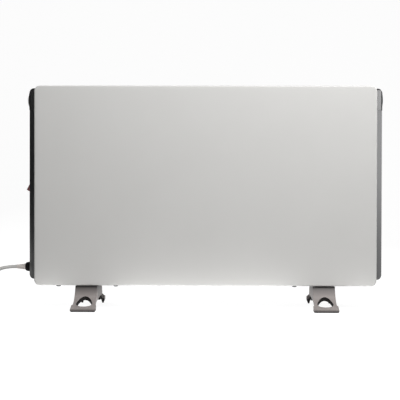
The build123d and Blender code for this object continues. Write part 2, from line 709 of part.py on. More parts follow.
# ---------------------------------------------------------------- frame inside
PLATE_X = 325.5
PLATE_WALL = 1
PLATE_FRONT = -16
PLATE_BACK = COVER_BACK - COVER_WALL
PLATE_LOW = 67
PLATE_HIGH = 433.5
EARTH_Y = 36
EARTH_Z = 132
WIRE_HOLE_Z = 185
for side, side_name in ((LEFT, "left"), (RIGHT, "right")):
    with BuildPart() as end_plate:
        with BuildSketch(side_plane(PLATE_X, side)):
            with Locations((side * (PLATE_FRONT + PLATE_BACK) / 2, (PLATE_LOW + PLATE_HIGH) / 2)):
                Rectangle(PLATE_BACK - PLATE_FRONT, PLATE_HIGH - PLATE_LOW)
            with Locations((side * 20, WIRE_HOLE_Z)):
                Circle(6, mode=Mode.SUBTRACT)
            with Locations((side * BULB_Y, BULB_Z)):
                Circle(4, mode=Mode.SUBTRACT)
            with Locations((side * EARTH_Y, EARTH_Z)):
                Circle(2, mode=Mode.SUBTRACT)
            with Locations((side * OUTLET_Y, 300)):
                with GridLocations(1, 60, 1, 3):
                    SlotOverall(30, 12, mode=Mode.SUBTRACT)
        extrude(amount=PLATE_WALL)
        # flanges turned towards the middle, for the heat shield in front and the rear shell behind
        for edge_y, flange in ((PLATE_FRONT, 15), (PLATE_BACK - PLATE_WALL, 22)):
            with BuildSketch(Plane.XZ.offset(-edge_y)):
                with Locations((side * (PLATE_X - flange / 2), (PLATE_LOW + PLATE_HIGH) / 2)):
                    Rectangle(flange, PLATE_HIGH - PLATE_LOW)
            extrude(amount=-PLATE_WALL)
        with BuildSketch(Plane.XZ.offset(-PLATE_BACK)):
            with Locations(*[(side * COVER_SCREW_X[1], z) for z in COVER_SCREW_Z]):
                Circle(1.6)
        extrude(amount=PLATE_WALL, mode=Mode.SUBTRACT)
    end_plate.part.label = f"{side_name}_end_plate"
    export_step(end_plate.part, f"parts/{side_name}_end_plate.step")

SHIELD_Y = PLATE_FRONT + PLATE_WALL
SHIELD_WALL = 0.8
SHIELD_LIP = 12
SHIELD_LOW = 74
SHIELD_HIGH = 424
shield_path = (
    (SHIELD_Y + SHIELD_LIP, SHIELD_HIGH),
    (SHIELD_Y, SHIELD_HIGH),
    (SHIELD_Y, SHIELD_LOW),
    (SHIELD_Y + SHIELD_LIP, SHIELD_LOW),
)
with BuildPart() as heat_shield:
    add(folded_strip(shield_path, SHIELD_WALL, 2 * PLATE_X - 2, 0))
heat_shield.part.label = "heat_shield"
export_step(heat_shield.part, "parts/heat_shield.step")

# ---------------------------------------------------------------- heating element
ELEMENT_Y = 12
ELEMENT_Z = 150
ELEMENT_HALF = 275
ELEMENT_FIN = 34
ELEMENT_LEAN = 60
CORE_RADIUS = 3.2
element_end = Plane.YZ.offset(-ELEMENT_HALF)
with BuildPart() as heating_element:
    with BuildSketch(element_end):
        with Locations((ELEMENT_Y, ELEMENT_Z)):
            Circle(8)
            for lean in (ELEMENT_LEAN, 180 - ELEMENT_LEAN):
                Rectangle(2 * ELEMENT_FIN, 1.8, rotation=lean)
            with PolarLocations(ELEMENT_FIN, 2, start_angle=ELEMENT_LEAN):
                Rectangle(1.8, 9)
            with PolarLocations(ELEMENT_FIN, 2, start_angle=180 - ELEMENT_LEAN):
                Rectangle(1.8, 9)
            with PolarLocations(ELEMENT_FIN * 0.62, 2, start_angle=ELEMENT_LEAN):
                Rectangle(1.6, 7)
            with PolarLocations(ELEMENT_FIN * 0.62, 2, start_angle=180 - ELEMENT_LEAN):
                Rectangle(1.6, 7)
            Circle(CORE_RADIUS + 0.1, mode=Mode.SUBTRACT)
    extrude(amount=2 * ELEMENT_HALF)
heating_element.part.label = "heating_element"
export_step(heating_element.part, "parts/heating_element.step")

CORE_HALF = 302
with BuildPart() as element_core:
    with BuildSketch(Plane.YZ.offset(-CORE_HALF)):
        with Locations((ELEMENT_Y, ELEMENT_Z)):
            Circle(CORE_RADIUS)
    extrude(amount=2 * CORE_HALF)
element_core.part.label = "element_core"
export_step(element_core.part, "parts/element_core.step")

with BuildPart() as element_terminals:
    for side in (LEFT, RIGHT):
        with BuildSketch(side_plane(CORE_HALF, side)):
            with Locations((side * ELEMENT_Y, ELEMENT_Z)):
                Circle(1.6)
        extrude(amount=5)
        with BuildSketch(side_plane(CORE_HALF + 5, side)):
            with Locations((side * ELEMENT_Y, ELEMENT_Z)):
                Rectangle(0.8, 6.3)
        extrude(amount=8)
element_terminals.part.label = "element_terminals"
export_step(element_terminals.part, "parts/element_terminals.step")

INSULATOR_X = 282
INSULATOR_LENGTH = 14
INSULATOR_RADIUS = 7
BRACKET_X = 288
BRACKET_RISE = 14
BRACKET_FALL = 18
with BuildPart() as element_insulators:
    for side in (LEFT, RIGHT):
        with BuildSketch(side_plane(INSULATOR_X, side)):
            with Locations((side * ELEMENT_Y, ELEMENT_Z)):
                Circle(INSULATOR_RADIUS)
                Circle(CORE_RADIUS + 0.1, mode=Mode.SUBTRACT)
        extrude(amount=INSULATOR_LENGTH)
element_insulators.part.label = "element_insulators"
export_step(element_insulators.part, "parts/element_insulators.step")

with BuildPart() as element_brackets:
    for side, inwards in ((LEFT, Side.RIGHT), (RIGHT, Side.LEFT)):
        with BuildSketch(Plane.XZ.offset(-ELEMENT_Y - BRACKET_WIDTH / 2)):
            with BuildLine():
                Polyline(
                    (side * BRACKET_X, ELEMENT_Z + BRACKET_RISE),
                    (side * BRACKET_X, ELEMENT_Z - BRACKET_FALL),
                    (side * PLATE_X, ELEMENT_Z - BRACKET_FALL),
                    (side * PLATE_X, ELEMENT_Z + BRACKET_RISE),
                )
                offset(amount=STRIP, side=inwards, kind=Kind.INTERSECTION)
            make_face()
        extrude(amount=BRACKET_WIDTH)
        with BuildSketch(side_plane(BRACKET_X - 2, side)):
            with Locations((side * ELEMENT_Y, ELEMENT_Z)):
                Circle(INSULATOR_RADIUS + 0.1)
        extrude(amount=6, mode=Mode.SUBTRACT)
element_brackets.part.label = "element_brackets"
export_step(element_brackets.part, "parts/element_brackets.step")

# the overheat cut-out sits on the shield above the element
CUTOUT_AT = (60, 205)
CUTOUT_DEPTH = 7
with BuildPart() as thermal_cutout:
    with BuildSketch(Plane.XZ.offset(-SHIELD_Y - SHIELD_WALL)):
        with Locations(CUTOUT_AT):
            SlotOverall(32, 10)
    extrude(amount=-1)
    with BuildSketch(Plane.XZ.offset(-SHIELD_Y - SHIELD_WALL)):
        with Locations(CUTOUT_AT):
            Circle(8)
    extrude(amount=-CUTOUT_DEPTH)
    with BuildSketch(Plane.XZ.offset(-SHIELD_Y - SHIELD_WALL - CUTOUT_DEPTH)):
        with Locations(CUTOUT_AT):
            with GridLocations(9, 1, 2, 1):
                Rectangle(0.8, 5)
    extrude(amount=-7)
thermal_cutout.part.label = "thermal_cutout"
export_step(thermal_cutout.part, "parts/thermal_cutout.step")

# ---------------------------------------------------------------- wiring on the left end plate
BLOCK_X = PLATE_X + PLATE_WALL
BLOCK_DEPTH = 14
BLOCK_Y = 12
BLOCK_Z = 120
TILT_Z = 332
with BuildPart() as terminal_block:
    with BuildSketch(side_plane(BLOCK_X, LEFT)):
        with Locations((-BLOCK_Y, BLOCK_Z)):
            RectangleRounded(27, 24, 1.5)
    extrude(amount=BLOCK_DEPTH)
    with BuildSketch(side_plane(BLOCK_X + BLOCK_DEPTH, LEFT)):
        with Locations((-BLOCK_Y, BLOCK_Z)):
            with GridLocations(8.4, 12, 3, 2):
                Circle(1.9)
    extrude(amount=-6, mode=Mode.SUBTRACT)
terminal_block.part.label = "terminal_block"
export_step(terminal_block.part, "parts/terminal_block.step")

with BuildPart() as tilt_switch:
    with BuildSketch(side_plane(BLOCK_X, LEFT)):
        with Locations((-BLOCK_Y, TILT_Z)):
            RectangleRounded(22, 26, 2)
    extrude(amount=BLOCK_DEPTH)
tilt_switch.part.label = "tilt_switch"
export_step(tilt_switch.part, "parts/tilt_switch.step")

with BuildPart() as earth_screw:
    add(pan_screw(3.2, 2, 1.9, 6).moved(Location((-BLOCK_X, EARTH_Y, EARTH_Z), (0, 90, 0))))
earth_screw.part.label = "earth_screw"
export_step(earth_screw.part, "parts/earth_screw.step")

WIRE_RADIUS = 1.3
WIRE_X = -333.5
WIRE_REAR_Y = 27
switch_low = SWITCH_Z - 10
switch_high = SWITCH_Z + 10
stat_low = KNOB_Z - 14.5
wire_routes = (
    # from the gland to the terminal block
    [(-342.6, CONTROL_Y, GLAND_Z), (-336, CONTROL_Y, 82.2), (WIRE_X, 11, 93.2), (WIRE_X, BLOCK_Y, 107.5)],
    # from the block to the switch
    [(WIRE_X, BLOCK_Y, 132.5), (WIRE_X, BLOCK_Y, 150), (-337, 15, 200), (-337, 15, switch_low)],
    # from the switch to the tilt switch
    [(-337, 5, switch_high), (-337, 5, 290), (WIRE_X, BLOCK_Y, 305), (WIRE_X, BLOCK_Y, 318.5)],
    # from the tilt switch to the thermostat
    [(WIRE_X, BLOCK_Y, 345.5), (WIRE_X, BLOCK_Y, 365), (-336, 5, 390), (-336, 5, stat_low)],
    # from the thermostat through the end plate to the element
    [
        (WIRE_X, 20, stat_low),
        (WIRE_X, WIRE_REAR_Y, 380),
        (-331, WIRE_REAR_Y, 215),
        (-331, 20, WIRE_HOLE_Z),
        (-318, 20, WIRE_HOLE_Z),
    ],
)
with BuildPart() as wiring:
    for route in wire_routes:
        with BuildLine() as wire:
            FilletPolyline(*route, radius=3)
        with BuildSketch(Plane(origin=wire.line @ 0, z_dir=wire.line % 0)):
            Circle(WIRE_RADIUS)
        sweep(path=wire.line)
wiring.part.label = "wiring"
export_step(wiring.part, "parts/wiring.step")

# ---------------------------------------------------------------- feet
# A foot is one hollow casting. Seen from the side its front leg sweeps out to a toe bar, and its back leg
# steps back to two pointed toes with a low gap between them.
FOOT_UNDER = 38  # underside of the top wall
FOOT_FRONT = -31  # top of the front leg, set back under the panel
FOOT_BACK = 77  # rear face of the back leg
FOOT_INNER = FOOT_HALF - FOOT_WALL
TOE_BAR_HALF = 24.5
BACK_TOE_HALF = 26
TOE_STEP = 3  # length over which the foot widens to its toes
TOE_BAR_BACK = -79
TOE_FACE_Z = 5
FOOT_BOSS = (36, 50)
FOOT_BOSS_Y = 13
TOE_SOLE = (20, 23.5)  # the back toes' soles, measured from the foot's middle
EYE_HALF = 16
EYE_RISE = 28
EYE_CORNER_Y = -74
EYE_FRONT_Y = -86
ARCH_BACK = (56, 20.5)
TOE_GAP_Z = 8

for side, side_name in ((LEFT, "left"), (RIGHT, "right")):
    middle = side * FOOT_X
    with BuildPart() as foot:
        with BuildSketch(Plane.YZ.offset(middle - 30)):
            with BuildLine():
                Polyline(
                    (-83, FOOT_SOLE),
                    (-FOOT_REACH, FOOT_SOLE),
                    (-FOOT_REACH, TOE_FACE_Z),
                    (TOE_BAR_BACK, 11),
                    (-72, 13.5),
                )
                ThreePointArc((-72, 13.5), (-47.5, 24.5), (FOOT_FRONT, FOOT_TOP))
                Polyline((FOOT_FRONT, FOOT_TOP), (46, FOOT_TOP), (62, 41))
                ThreePointArc((62, 41), (70.8, 35.6), (FOOT_BACK, 21))
                Polyline(
                    (FOOT_BACK, 21),
                    (FOOT_BACK + TOE_STEP, 17),
                    (FOOT_REACH, 14.5),
                    (FOOT_REACH, 8),
                    (FOOT_REACH - 4, FOOT_SOLE),
                    (-83, FOOT_SOLE),
                )
            make_face()
        extrude(amount=60)
        # seen from above the foot widens in a step to its toes
        with BuildSketch(Plane.XY):
            with Locations((middle, 0)):
                Rectangle(2 * FOOT_HALF, 2 * FOOT_REACH)
            for end_y, wide_y, leg_y, toe_half in (
                (-FOOT_REACH, TOE_BAR_BACK, TOE_BAR_BACK + TOE_STEP, TOE_BAR_HALF),
                (FOOT_REACH, FOOT_BACK + TOE_STEP, FOOT_BACK, BACK_TOE_HALF),
            ):
                Polygon(
                    (middle - toe_half, end_y),
                    (middle + toe_half, end_y),
                    (middle + toe_half, wide_y),
                    (middle + FOOT_HALF, leg_y),
                    (middle - FOOT_HALF, leg_y),
                    (middle - toe_half, wide_y),
                    align=None,
                )
        extrude(amount=FOOT_TOP, mode=Mode.INTERSECT)
        with BuildSketch(Plane.XY.offset(FOOT_TOP)):
            with Locations((middle, FOOT_BOSS_Y)):
                RectangleRounded(*FOOT_BOSS, 4)
        extrude(amount=COVER_BOTTOM - FOOT_TOP)
        # the hollow under the top and inside the legs, and the gap between the back toes
        with BuildSketch(Plane.YZ.offset(middle - FOOT_INNER)):
            with BuildLine():
                ThreePointArc((-80, 0), (-49, 15.5), (-27, FOOT_UNDER))
                Polyline((-27, FOOT_UNDER), (44, FOOT_UNDER), (60, 34.5))
                ThreePointArc((60, 34.5), (68.5, 30), (71, 22))
                Polyline((71, 22), (71, TOE_GAP_Z), (FOOT_REACH, TOE_GAP_Z), (FOOT_REACH, 0), (-80, 0))
            make_face()
        extrude(amount=2 * FOOT_INNER, mode=Mode.SUBTRACT)
        # the side walls end in a long arch that is highest at the back
        for wall_x in (middle - 30, middle + FOOT_INNER):
            with BuildSketch(Plane.YZ.offset(wall_x)):
                with BuildLine():
                    ThreePointArc((-82, 0), (-62, 8.5), (-46, 14.8))
                    ThreePointArc((-46, 14.8), (6, 18.6), ARCH_BACK)
                    Polyline(ARCH_BACK, (88, 7), (90.5, 0), (-82, 0))
                make_face()
            extrude(amount=30 - FOOT_INNER, mode=Mode.SUBTRACT)
        # an eye down through the front leg
        with BuildSketch(Plane.XY):
            with BuildLine():
                EllipticalCenterArc((middle, EYE_CORNER_Y), EYE_HALF, EYE_RISE, arc_size=180)
                ThreePointArc(
                    (middle - EYE_HALF, EYE_CORNER_Y),
                    (middle, EYE_FRONT_Y),
                    (middle + EYE_HALF, EYE_CORNER_Y),
                )
            make_face()
        extrude(amount=FOOT_UNDER, mode=Mode.SUBTRACT)
        # each back toe narrows to its sole
        with BuildSketch(Plane.XZ.offset(-FOOT_BACK)):
            for edge in (LEFT, RIGHT):
                for sole_x, side_x in zip(TOE_SOLE, (FOOT_INNER, BACK_TOE_HALF + 1)):
                    Polygon(
                        (middle + edge * sole_x, FOOT_SOLE),
                        (middle + edge * side_x, 10),
                        (middle + edge * side_x, 0),
                        (middle + edge * sole_x, 0),
                        align=None,
                    )
        extrude(amount=-FOOT_REACH, mode=Mode.SUBTRACT)
        with BuildSketch(Plane.XY.offset(FOOT_UNDER - 2)):
            with Locations(*[(middle, y) for y in FOOT_SCREW_Y]):
                Circle(2.7)
        extrude(amount=FOOT_TOP, mode=Mode.SUBTRACT)
    foot.part.label = f"foot_{side_name}"
    export_step(foot.part, f"parts/foot_{side_name}.step")

with BuildPart() as foot_screws:
    for side in (LEFT, RIGHT):
        for y in FOOT_SCREW_Y:
            add(pan_screw(4.6, 3, 2.45, 32).moved(Location((side * FOOT_X, y, FOOT_UNDER))))
foot_screws.part.label = "foot_screws"
export_step(foot_screws.part, "parts/foot_screws.step")

with BuildPart() as foot_nuts:
    with BuildSketch(Plane.XY.offset(COVER_BOTTOM + COVER_WALL)):
        with Locations(*[(side * FOOT_X, y) for side in (LEFT, RIGHT) for y in FOOT_SCREW_Y]):
            RegularPolygon(4.6, 6)
            Circle(2.5, mode=Mode.SUBTRACT)
    extrude(amount=4)
foot_nuts.part.label = "foot_nuts"
export_step(foot_nuts.part, "parts/foot_nuts.step")

with BuildPart() as foot_pads:
    with BuildSketch(Plane.XY):
        for side in (LEFT, RIGHT):
            with Locations((side * FOOT_X, -95)):
                RectangleRounded(47, 14, 2)
            toe_middle = sum(TOE_SOLE) / 2
            with Locations((side * FOOT_X - toe_middle, 94.8), (side * FOOT_X + toe_middle, 94.8)):
                RectangleRounded(TOE_SOLE[1] - TOE_SOLE[0], 8, 1.2)
    extrude(amount=FOOT_SOLE)
foot_pads.part.label = "foot_pads"
export_step(foot_pads.part, "parts/foot_pads.step")

# ---------------------------------------------------------------- mains cord
# Leaving the sleeve the cord droops to the floor and runs into its put-away coil.
lead_route = [
    (SLEEVE_TIP_X, CONTROL_Y, GLAND_Z),
    (-409, CONTROL_Y, GLAND_Z),
    (-432.5, CONTROL_Y, 69.5),
    (-447, CONTROL_Y, 45.5),
    (-459, CONTROL_Y, 23),
    (-475, CONTROL_Y, 9.5),
    (-494, CONTROL_Y, COIL_Z),
    (COIL_X + CORD, CONTROL_Y, COIL_Z),
]
END_Y = COIL_Y + COIL_RADIUS - CORD_PITCH
end_route = [
    (COIL_X - CORD, END_Y, COIL_UPPER_Z),
    (-538.5, END_Y, COIL_UPPER_Z),
    (-555, END_Y + 7.5, 14),
    (-567, END_Y + 21.5, 16.4),
    (-572, END_Y + 39, PLUG_Z),
    (-572, END_Y + 56.5, PLUG_Z),
]


with BuildPart() as cord_lead:
    lead_tube, lead_length = cord_tube(lead_route)
    add(lead_tube)
cord_lead.part.label = "cord_lead"
export_step(cord_lead.part, "parts/cord_lead.step")

with BuildPart() as cord_end:
    end_tube, end_length = cord_tube(end_route)
    add(end_tube)
cord_end.part.label = "cord_end"
export_step(cord_end.part, "parts/cord_end.step")

# The coil is made of half turns. The lower layer winds inwards by one pitch a turn, the next half
# turn climbs on its own slope, and the upper layer winds outwards again over the lower one.


joints = coil_joints()
with BuildPart() as cord_coil:
    with BuildLine() as turns:
        Line((COIL_X + CORD, joints[0][1], joints[0][2]), joints[0])
        for number, (start, end) in enumerate(zip(joints, joints[1:])):
            ThreePointArc(start, half_turn_crest(start, end, number), end)
        Line(joints[-1], (COIL_X - CORD, joints[-1][1], joints[-1][2]))
    with BuildSketch(Plane(origin=turns.line @ 0, z_dir=turns.line % 0)):
        Circle(CORD / 2)
    sweep(path=turns.line)
cord_coil.part.label = "cord_coil"
export_step(cord_coil.part, "parts/cord_coil.step")


print("lead bend radii", [round(radius, 1) for radius in bend_radii(lead_route)])
print("end bend radii", [round(radius, 1) for radius in bend_radii(end_route)])
print("least gap between turns", round(least_gap(joints, 6), 2))
coil_length = line_length(turns)
print("lead, coil and end lengths", round(lead_length), round(coil_length), round(end_length))
print("cord outside the sleeve", round(lead_length + coil_length + end_length))
section = pi * CORD**2 / 4
print("volume over section times length", end=" ")
print(round(cord_lead.part.volume / section / lead_length, 4), end=" ")
print(round(cord_coil.part.volume / section / coil_length, 4), end=" ")
print(round(cord_end.part.volume / section / end_length, 4))

# the tie: a strap round the bundle on the coil's left side
TIE_WIDTH = 12
TIE_THICK = 0.8
TIE_ROOM = 1.3
tie_outer_x = COIL_X - COIL_RADIUS - CORD / 2 - TIE_ROOM
tie_inner_x = COIL_X - COIL_RADIUS + 2 * CORD_PITCH + CORD / 2 + TIE_ROOM
tie_top = COIL_UPPER_Z + CORD / 2 + 0.2
TIE_Y = COIL_Y - CORD_PITCH / 2
tie_outline = (
    (tie_outer_x, TIE_THICK),
    (tie_inner_x, TIE_THICK),
    (tie_inner_x, tie_top),
    (tie_outer_x + CORD_PITCH, tie_top),
    (tie_outer_x, tie_top - CORD_PITCH),
)
with BuildPart() as cord_tie:
    with BuildSketch(Plane.XZ.offset(-TIE_Y - TIE_WIDTH / 2)):
        Polygon(*tie_outline, align=None)
        offset(amount=TIE_THICK, kind=Kind.INTERSECTION)
        Polygon(*tie_outline, align=None, mode=Mode.SUBTRACT)
    extrude(amount=TIE_WIDTH)
cord_tie.part.label = "cord_tie"
export_step(cord_tie.part, "parts/cord_tie.step")

# ---------------------------------------------------------------- plug
# A round two-pin plug with side earth clips, lying on its rim with its pins away from the coil.
PLUG_X = end_route[-1][0]
PLUG_REAR_Y = end_route[-1][1]
PLUG_NECK = 22
PLUG_BODY = 34
PLUG_RADIUS = 18.5
PIN_SPACING = 19
PIN_RADIUS = 2.4
PIN_LENGTH = 19
plug_face = Plane(
    origin=(PLUG_X, PLUG_REAR_Y + PLUG_NECK + PLUG_BODY, PLUG_Z),
    x_dir=(1, 0, 0),
    z_dir=(0, 1, 0),
)
with BuildPart() as plug_body:
    with BuildSketch(Plane.XZ):
        with BuildLine():
            Polyline((0, 0), (4.6, 0), (6.6, PLUG_NECK))
            ThreePointArc((6.6, PLUG_NECK), (12.5, PLUG_NECK + 5), (14.5, PLUG_NECK + 14))
            ThreePointArc((14.5, PLUG_NECK + 14), (15.6, PLUG_NECK + 19.5), (PLUG_RADIUS, PLUG_NECK + 24))
            Polyline(
                (PLUG_RADIUS, PLUG_NECK + 24),
                (PLUG_RADIUS, PLUG_NECK + PLUG_BODY - 1),
                (PLUG_RADIUS - 1, PLUG_NECK + PLUG_BODY),
                (0, PLUG_NECK + PLUG_BODY),
                (0, 0),
            )
        make_face()
    revolve(axis=Axis.Z)
    # the two grooves that take the earth clips
    with BuildSketch(Plane.XY.offset(PLUG_NECK + PLUG_BODY)):
        with Locations((0, PLUG_RADIUS), (0, -PLUG_RADIUS)):
            Rectangle(7, 6)
    extrude(amount=-16, mode=Mode.SUBTRACT)
plug_place = Plane(origin=(PLUG_X, PLUG_REAR_Y, PLUG_Z), x_dir=(0, 0, 1), z_dir=(0, 1, 0)).location
plug_body.part = plug_body.part.moved(plug_place)
plug_body.part.label = "plug_body"
export_step(plug_body.part, "parts/plug_body.step")

with BuildPart() as plug_pins:
    with BuildSketch(plug_face):
        with Locations((0, PIN_SPACING / 2), (0, -PIN_SPACING / 2)):
            Circle(PIN_RADIUS)
    extrude(amount=PIN_LENGTH)
    fillet(plug_pins.faces().sort_by(Axis.Y)[-2:].edges(), 1.4)
plug_pins.part.label = "plug_pins"
export_step(plug_pins.part, "parts/plug_pins.step")

with BuildPart() as plug_earth_clips:
    with BuildSketch(plug_face.offset(-15.8)):
        with Locations((PLUG_RADIUS - 1.7, 0), (-PLUG_RADIUS + 1.7, 0)):
            Rectangle(1, 5)
    extrude(amount=14)
plug_earth_clips.part.label = "plug_earth_clips"
export_step(plug_earth_clips.part, "parts/plug_earth_clips.step")
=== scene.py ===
"""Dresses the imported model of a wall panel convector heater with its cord, surfaces, finishes and stage."""

from contextlib import contextmanager
from math import cos, pi, radians, sin

import bmesh
import bpy
import numpy as np
from bpy.props import FloatProperty, FloatVectorProperty, IntProperty, PointerProperty
from mathutils import Matrix, Vector


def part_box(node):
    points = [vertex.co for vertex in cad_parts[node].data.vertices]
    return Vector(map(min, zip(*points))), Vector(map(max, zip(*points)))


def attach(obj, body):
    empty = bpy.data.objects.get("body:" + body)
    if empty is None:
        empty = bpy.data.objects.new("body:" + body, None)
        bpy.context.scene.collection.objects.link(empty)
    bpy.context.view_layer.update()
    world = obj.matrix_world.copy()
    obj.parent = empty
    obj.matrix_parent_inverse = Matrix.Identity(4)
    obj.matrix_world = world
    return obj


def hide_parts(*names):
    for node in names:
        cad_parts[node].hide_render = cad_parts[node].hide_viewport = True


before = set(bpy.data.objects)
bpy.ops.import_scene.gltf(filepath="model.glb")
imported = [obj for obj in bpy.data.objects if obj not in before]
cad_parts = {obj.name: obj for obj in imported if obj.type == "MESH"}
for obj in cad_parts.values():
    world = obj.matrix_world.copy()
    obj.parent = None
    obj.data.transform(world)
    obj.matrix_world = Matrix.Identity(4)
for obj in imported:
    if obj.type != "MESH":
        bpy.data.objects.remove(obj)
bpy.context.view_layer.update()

bl_info = {
    "name": "Panel convector heater",
    "version": (1, 0, 0),
    "blender": (4, 5, 0),
    "location": "View3D > Sidebar > Heater",
    "description": "Makes the surfaces, finishes, mains cord and stage of a panel convector heater",
    "category": "Object",
}

BODY = "heater"
DIAL = "thermostat_dial"
ROCKER = "rocker"


# ---- values that a user would change
def length(label, words, default, low, high):
    """A size in metres for the sidebar."""
    return FloatProperty(
        name=label, description=words, default=default, min=low, max=high, unit="LENGTH", precision=5
    )


def tint(label, words, default):
    """A colour for the sidebar."""
    return FloatVectorProperty(
        name=label, description=words, default=default, size=3, min=0.0, max=1.0, subtype="COLOR"
    )


class HeaterSizes(bpy.types.PropertyGroup):
    """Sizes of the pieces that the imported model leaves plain."""

    panel_crown: length("Panel crown", "How far the front sheet bows out at its middle", 0.0007, 0.0, 0.002)
    panel_corner: length("Panel corner", "Corner radius of the front sheet", 0.0115, 0.005, 0.03)
    panel_roll: length("Panel roll", "Radius of the front sheet's rolled edge", 0.003, 0.001, 0.01)
    panel_lip: length("Panel lip", "Width of the lip turned in behind the front sheet", 0.007, 0.002, 0.02)
    panel_wall: length("Panel wall", "Thickness of the front sheet", 0.0012, 0.0005, 0.003)
    moulding_edge: length("Moulding edge", "Rounding of the plastic covers' edges", 0.0008, 0.0001, 0.002)
    casting_edge: length("Casting edge", "Rounding along the edges of the cast feet", 0.0017, 0.0001, 0.003)
    knob_notches: IntProperty(
        name="Knob notches", description="Finger notches round the dial", default=24, min=8, max=60
    )
    sleeve_rings: IntProperty(
        name="Sleeve rings", description="Grooves round the cord's sleeve", default=5, min=0, max=12
    )
    cord_diameter: length("Cord diameter", "Diameter of the round mains cord", 0.0072, 0.004, 0.012)
    coil_pitch: length("Coil pitch", "Distance between neighbouring turns of the coil", 0.0077, 0.004, 0.02)
    coil_radius: length("Coil radius", "Radius of the coil's outermost turn", 0.0495, 0.02, 0.2)
    camera_distance: length("Camera distance", "Distance from the camera to the front sheet", 2.5, 1.0, 10.0)
    camera_lens: FloatProperty(
        name="Lens", description="Focal length in millimetres", default=112.7, min=20, max=300
    )


class HeaterColours(bpy.types.PropertyGroup):
    """Colours of the finishes, set together with the lamps so that the picture's tones match the photo's."""

    panel: tint("Front panel", "Powder coat of the front sheet", (0.62, 0.615, 0.60))
    shell: tint("Rear shell", "Powder coat of the rear shell and grille", (0.055, 0.056, 0.060))
    cheek: tint("End covers", "Moulded plastic of the end covers", (0.024, 0.025, 0.027))
    pod: tint("Caps", "Glossier plastic of the caps, the dial and the switch housing", (0.050, 0.050, 0.052))
    # painted shade on the caps' outer and upper rims, and the matt colour of the blank dial and gland
    rim: tint("Cap rims", "Matt plastic of blank dial and gland, and painted shade on cap rims", (0.0105, 0.0105, 0.0115))
    rocker: tint("Rocker", "Plastic of the switch rocker", (0.20, 0.008, 0.006))
    foot: tint("Feet", "Satin cast metal of the feet", (0.285, 0.257, 0.249))
    # painted shade: a near-black colour for the faces inside the feet, which lie in shade
    hollow: tint("Foot hollows", "Near-black painted shade on the faces inside the feet", (0.010, 0.009, 0.009))
    zinc: tint("Plated steel", "Zinc-plated sheet steel inside", (0.56, 0.57, 0.58))
    bright: tint("Bright metal", "Nickel-plated pins and terminals", (0.66, 0.65, 0.63))
    screw: tint("Screws", "Blackened screws", (0.06, 0.06, 0.065))
    fins: tint("Fins", "Extruded aluminium of the heating element", (0.80, 0.80, 0.81))
    ceramic: tint("Ceramic", "Unglazed insulators and terminal blocks", (0.80, 0.77, 0.71))
    rubber: tint("Pads", "Rubber pads under the feet", (0.016, 0.016, 0.017))
    sleeve: tint("Sleeve", "Soft sleeve round the cord where it leaves the gland", (0.80, 0.74, 0.70))
    cord: tint("Cord", "Outer jacket of the mains cord and its plug", (0.66, 0.65, 0.63))
    strap: tint("Strap", "Strap that ties the coil", (0.02, 0.02, 0.022))


# ---- shader maths
class Term:
    """A socket's value, so that shader maths can be written as Python expressions."""

    def __init__(self, tree, socket):
        self.tree = tree
        self.socket = socket

    def _math(self, operation, first, second):
        maths = self.tree.nodes.new("ShaderNodeMath")
        maths.operation = operation
        for slot, value in zip(maths.inputs, (first, second)):
            if isinstance(value, Term):
                self.tree.links.new(value.socket, slot)
            else:
                slot.default_value = value
        return Term(self.tree, maths.outputs[0])

    def __add__(self, other):
        return self._math("ADD", self, other)

    def __radd__(self, other):
        return self._math("ADD", other, self)

    def __sub__(self, other):
        return self._math("SUBTRACT", self, other)

    def __rsub__(self, other):
        return self._math("SUBTRACT", other, self)

    def __mul__(self, other):
        return self._math("MULTIPLY", self, other)

    def __rmul__(self, other):
        return self._math("MULTIPLY", other, self)

    def maximum(self, other):
        return self._math("MAXIMUM", self, other)


class Nodes:
    """A node tree whose nodes are made by one method and joined by Terms."""

    def __init__(self, tree):
        self.tree = tree
        tree.nodes.clear()

    def node(self, kind, settings=None, inputs=None, out=0):
        """Adds a node, sets its settings, then its sockets' values or links, and returns one output."""
        made = self.tree.nodes.new("ShaderNode" + kind)
        for key, value in (settings or {}).items():
            setattr(made, key, value)
        for key, value in (inputs or {}).items():
            if isinstance(value, Term):
                self.tree.links.new(value.socket, made.inputs[key])
            else:
                made.inputs[key].default_value = value
        return Term(self.tree, made.outputs[out]) if made.outputs else None

    def seen(self):
        """1 for what the camera, gloss and see-through pieces meet, and 0 for the light on the object."""
        ray = self.node("LightPath", out="Is Camera Ray")
        outputs = ray.socket.node.outputs
        for kind in ("Is Glossy Ray", "Is Transmission Ray"):
            ray = ray.maximum(Term(self.tree, outputs[kind]))
        return ray


class Finish(Nodes):
    """A material, with the patterns that the finishes share."""

    def __init__(self, name):
        self.material = bpy.data.materials.new(name)
        self.material.use_nodes = True
        super().__init__(self.material.node_tree)

    def place(self, scale=(1.0, 1.0, 1.0), turn=(0.0, 0.0, 0.0)):
        """Object coordinates, stretched and turned."""
        coordinates = self.node("TexCoord", out="Object")
        return self.node("Mapping", inputs={"Vector": coordinates, "Scale": scale, "Rotation": turn})

    def noise(self, place, scale, detail=2.0, roughness=0.5):
        """Cloudy values from 0 to 1 at a number of clouds per metre."""
        inputs = {"Vector": place, "Scale": scale, "Detail": detail, "Roughness": roughness}
        return self.node("TexNoise", inputs=inputs)

    def mix(self, factor, first, second):
        """A colour between two colours."""
        sides = {6: first, 7: second}
        colours = {slot: side if isinstance(side, Term) else (*side, 1.0) for slot, side in sides.items()}
        return self.node("Mix", {"data_type": "RGBA"}, {0: factor, **colours}, out=2)

    def bump(self, height, depth):
        """A normal from a height between 0 and 1 that stands for a depth in metres."""
        return self.node("Bump", inputs={"Height": height, "Distance": depth, "Strength": 1.0})

    def surface(self, constants, inputs):
        """Ends the material in a principled shader with constants on its own sockets and linked values."""
        shader = self.node("BsdfPrincipled", inputs={**constants, **inputs})
        self.node("OutputMaterial", inputs={"Surface": shader})
        return self.material


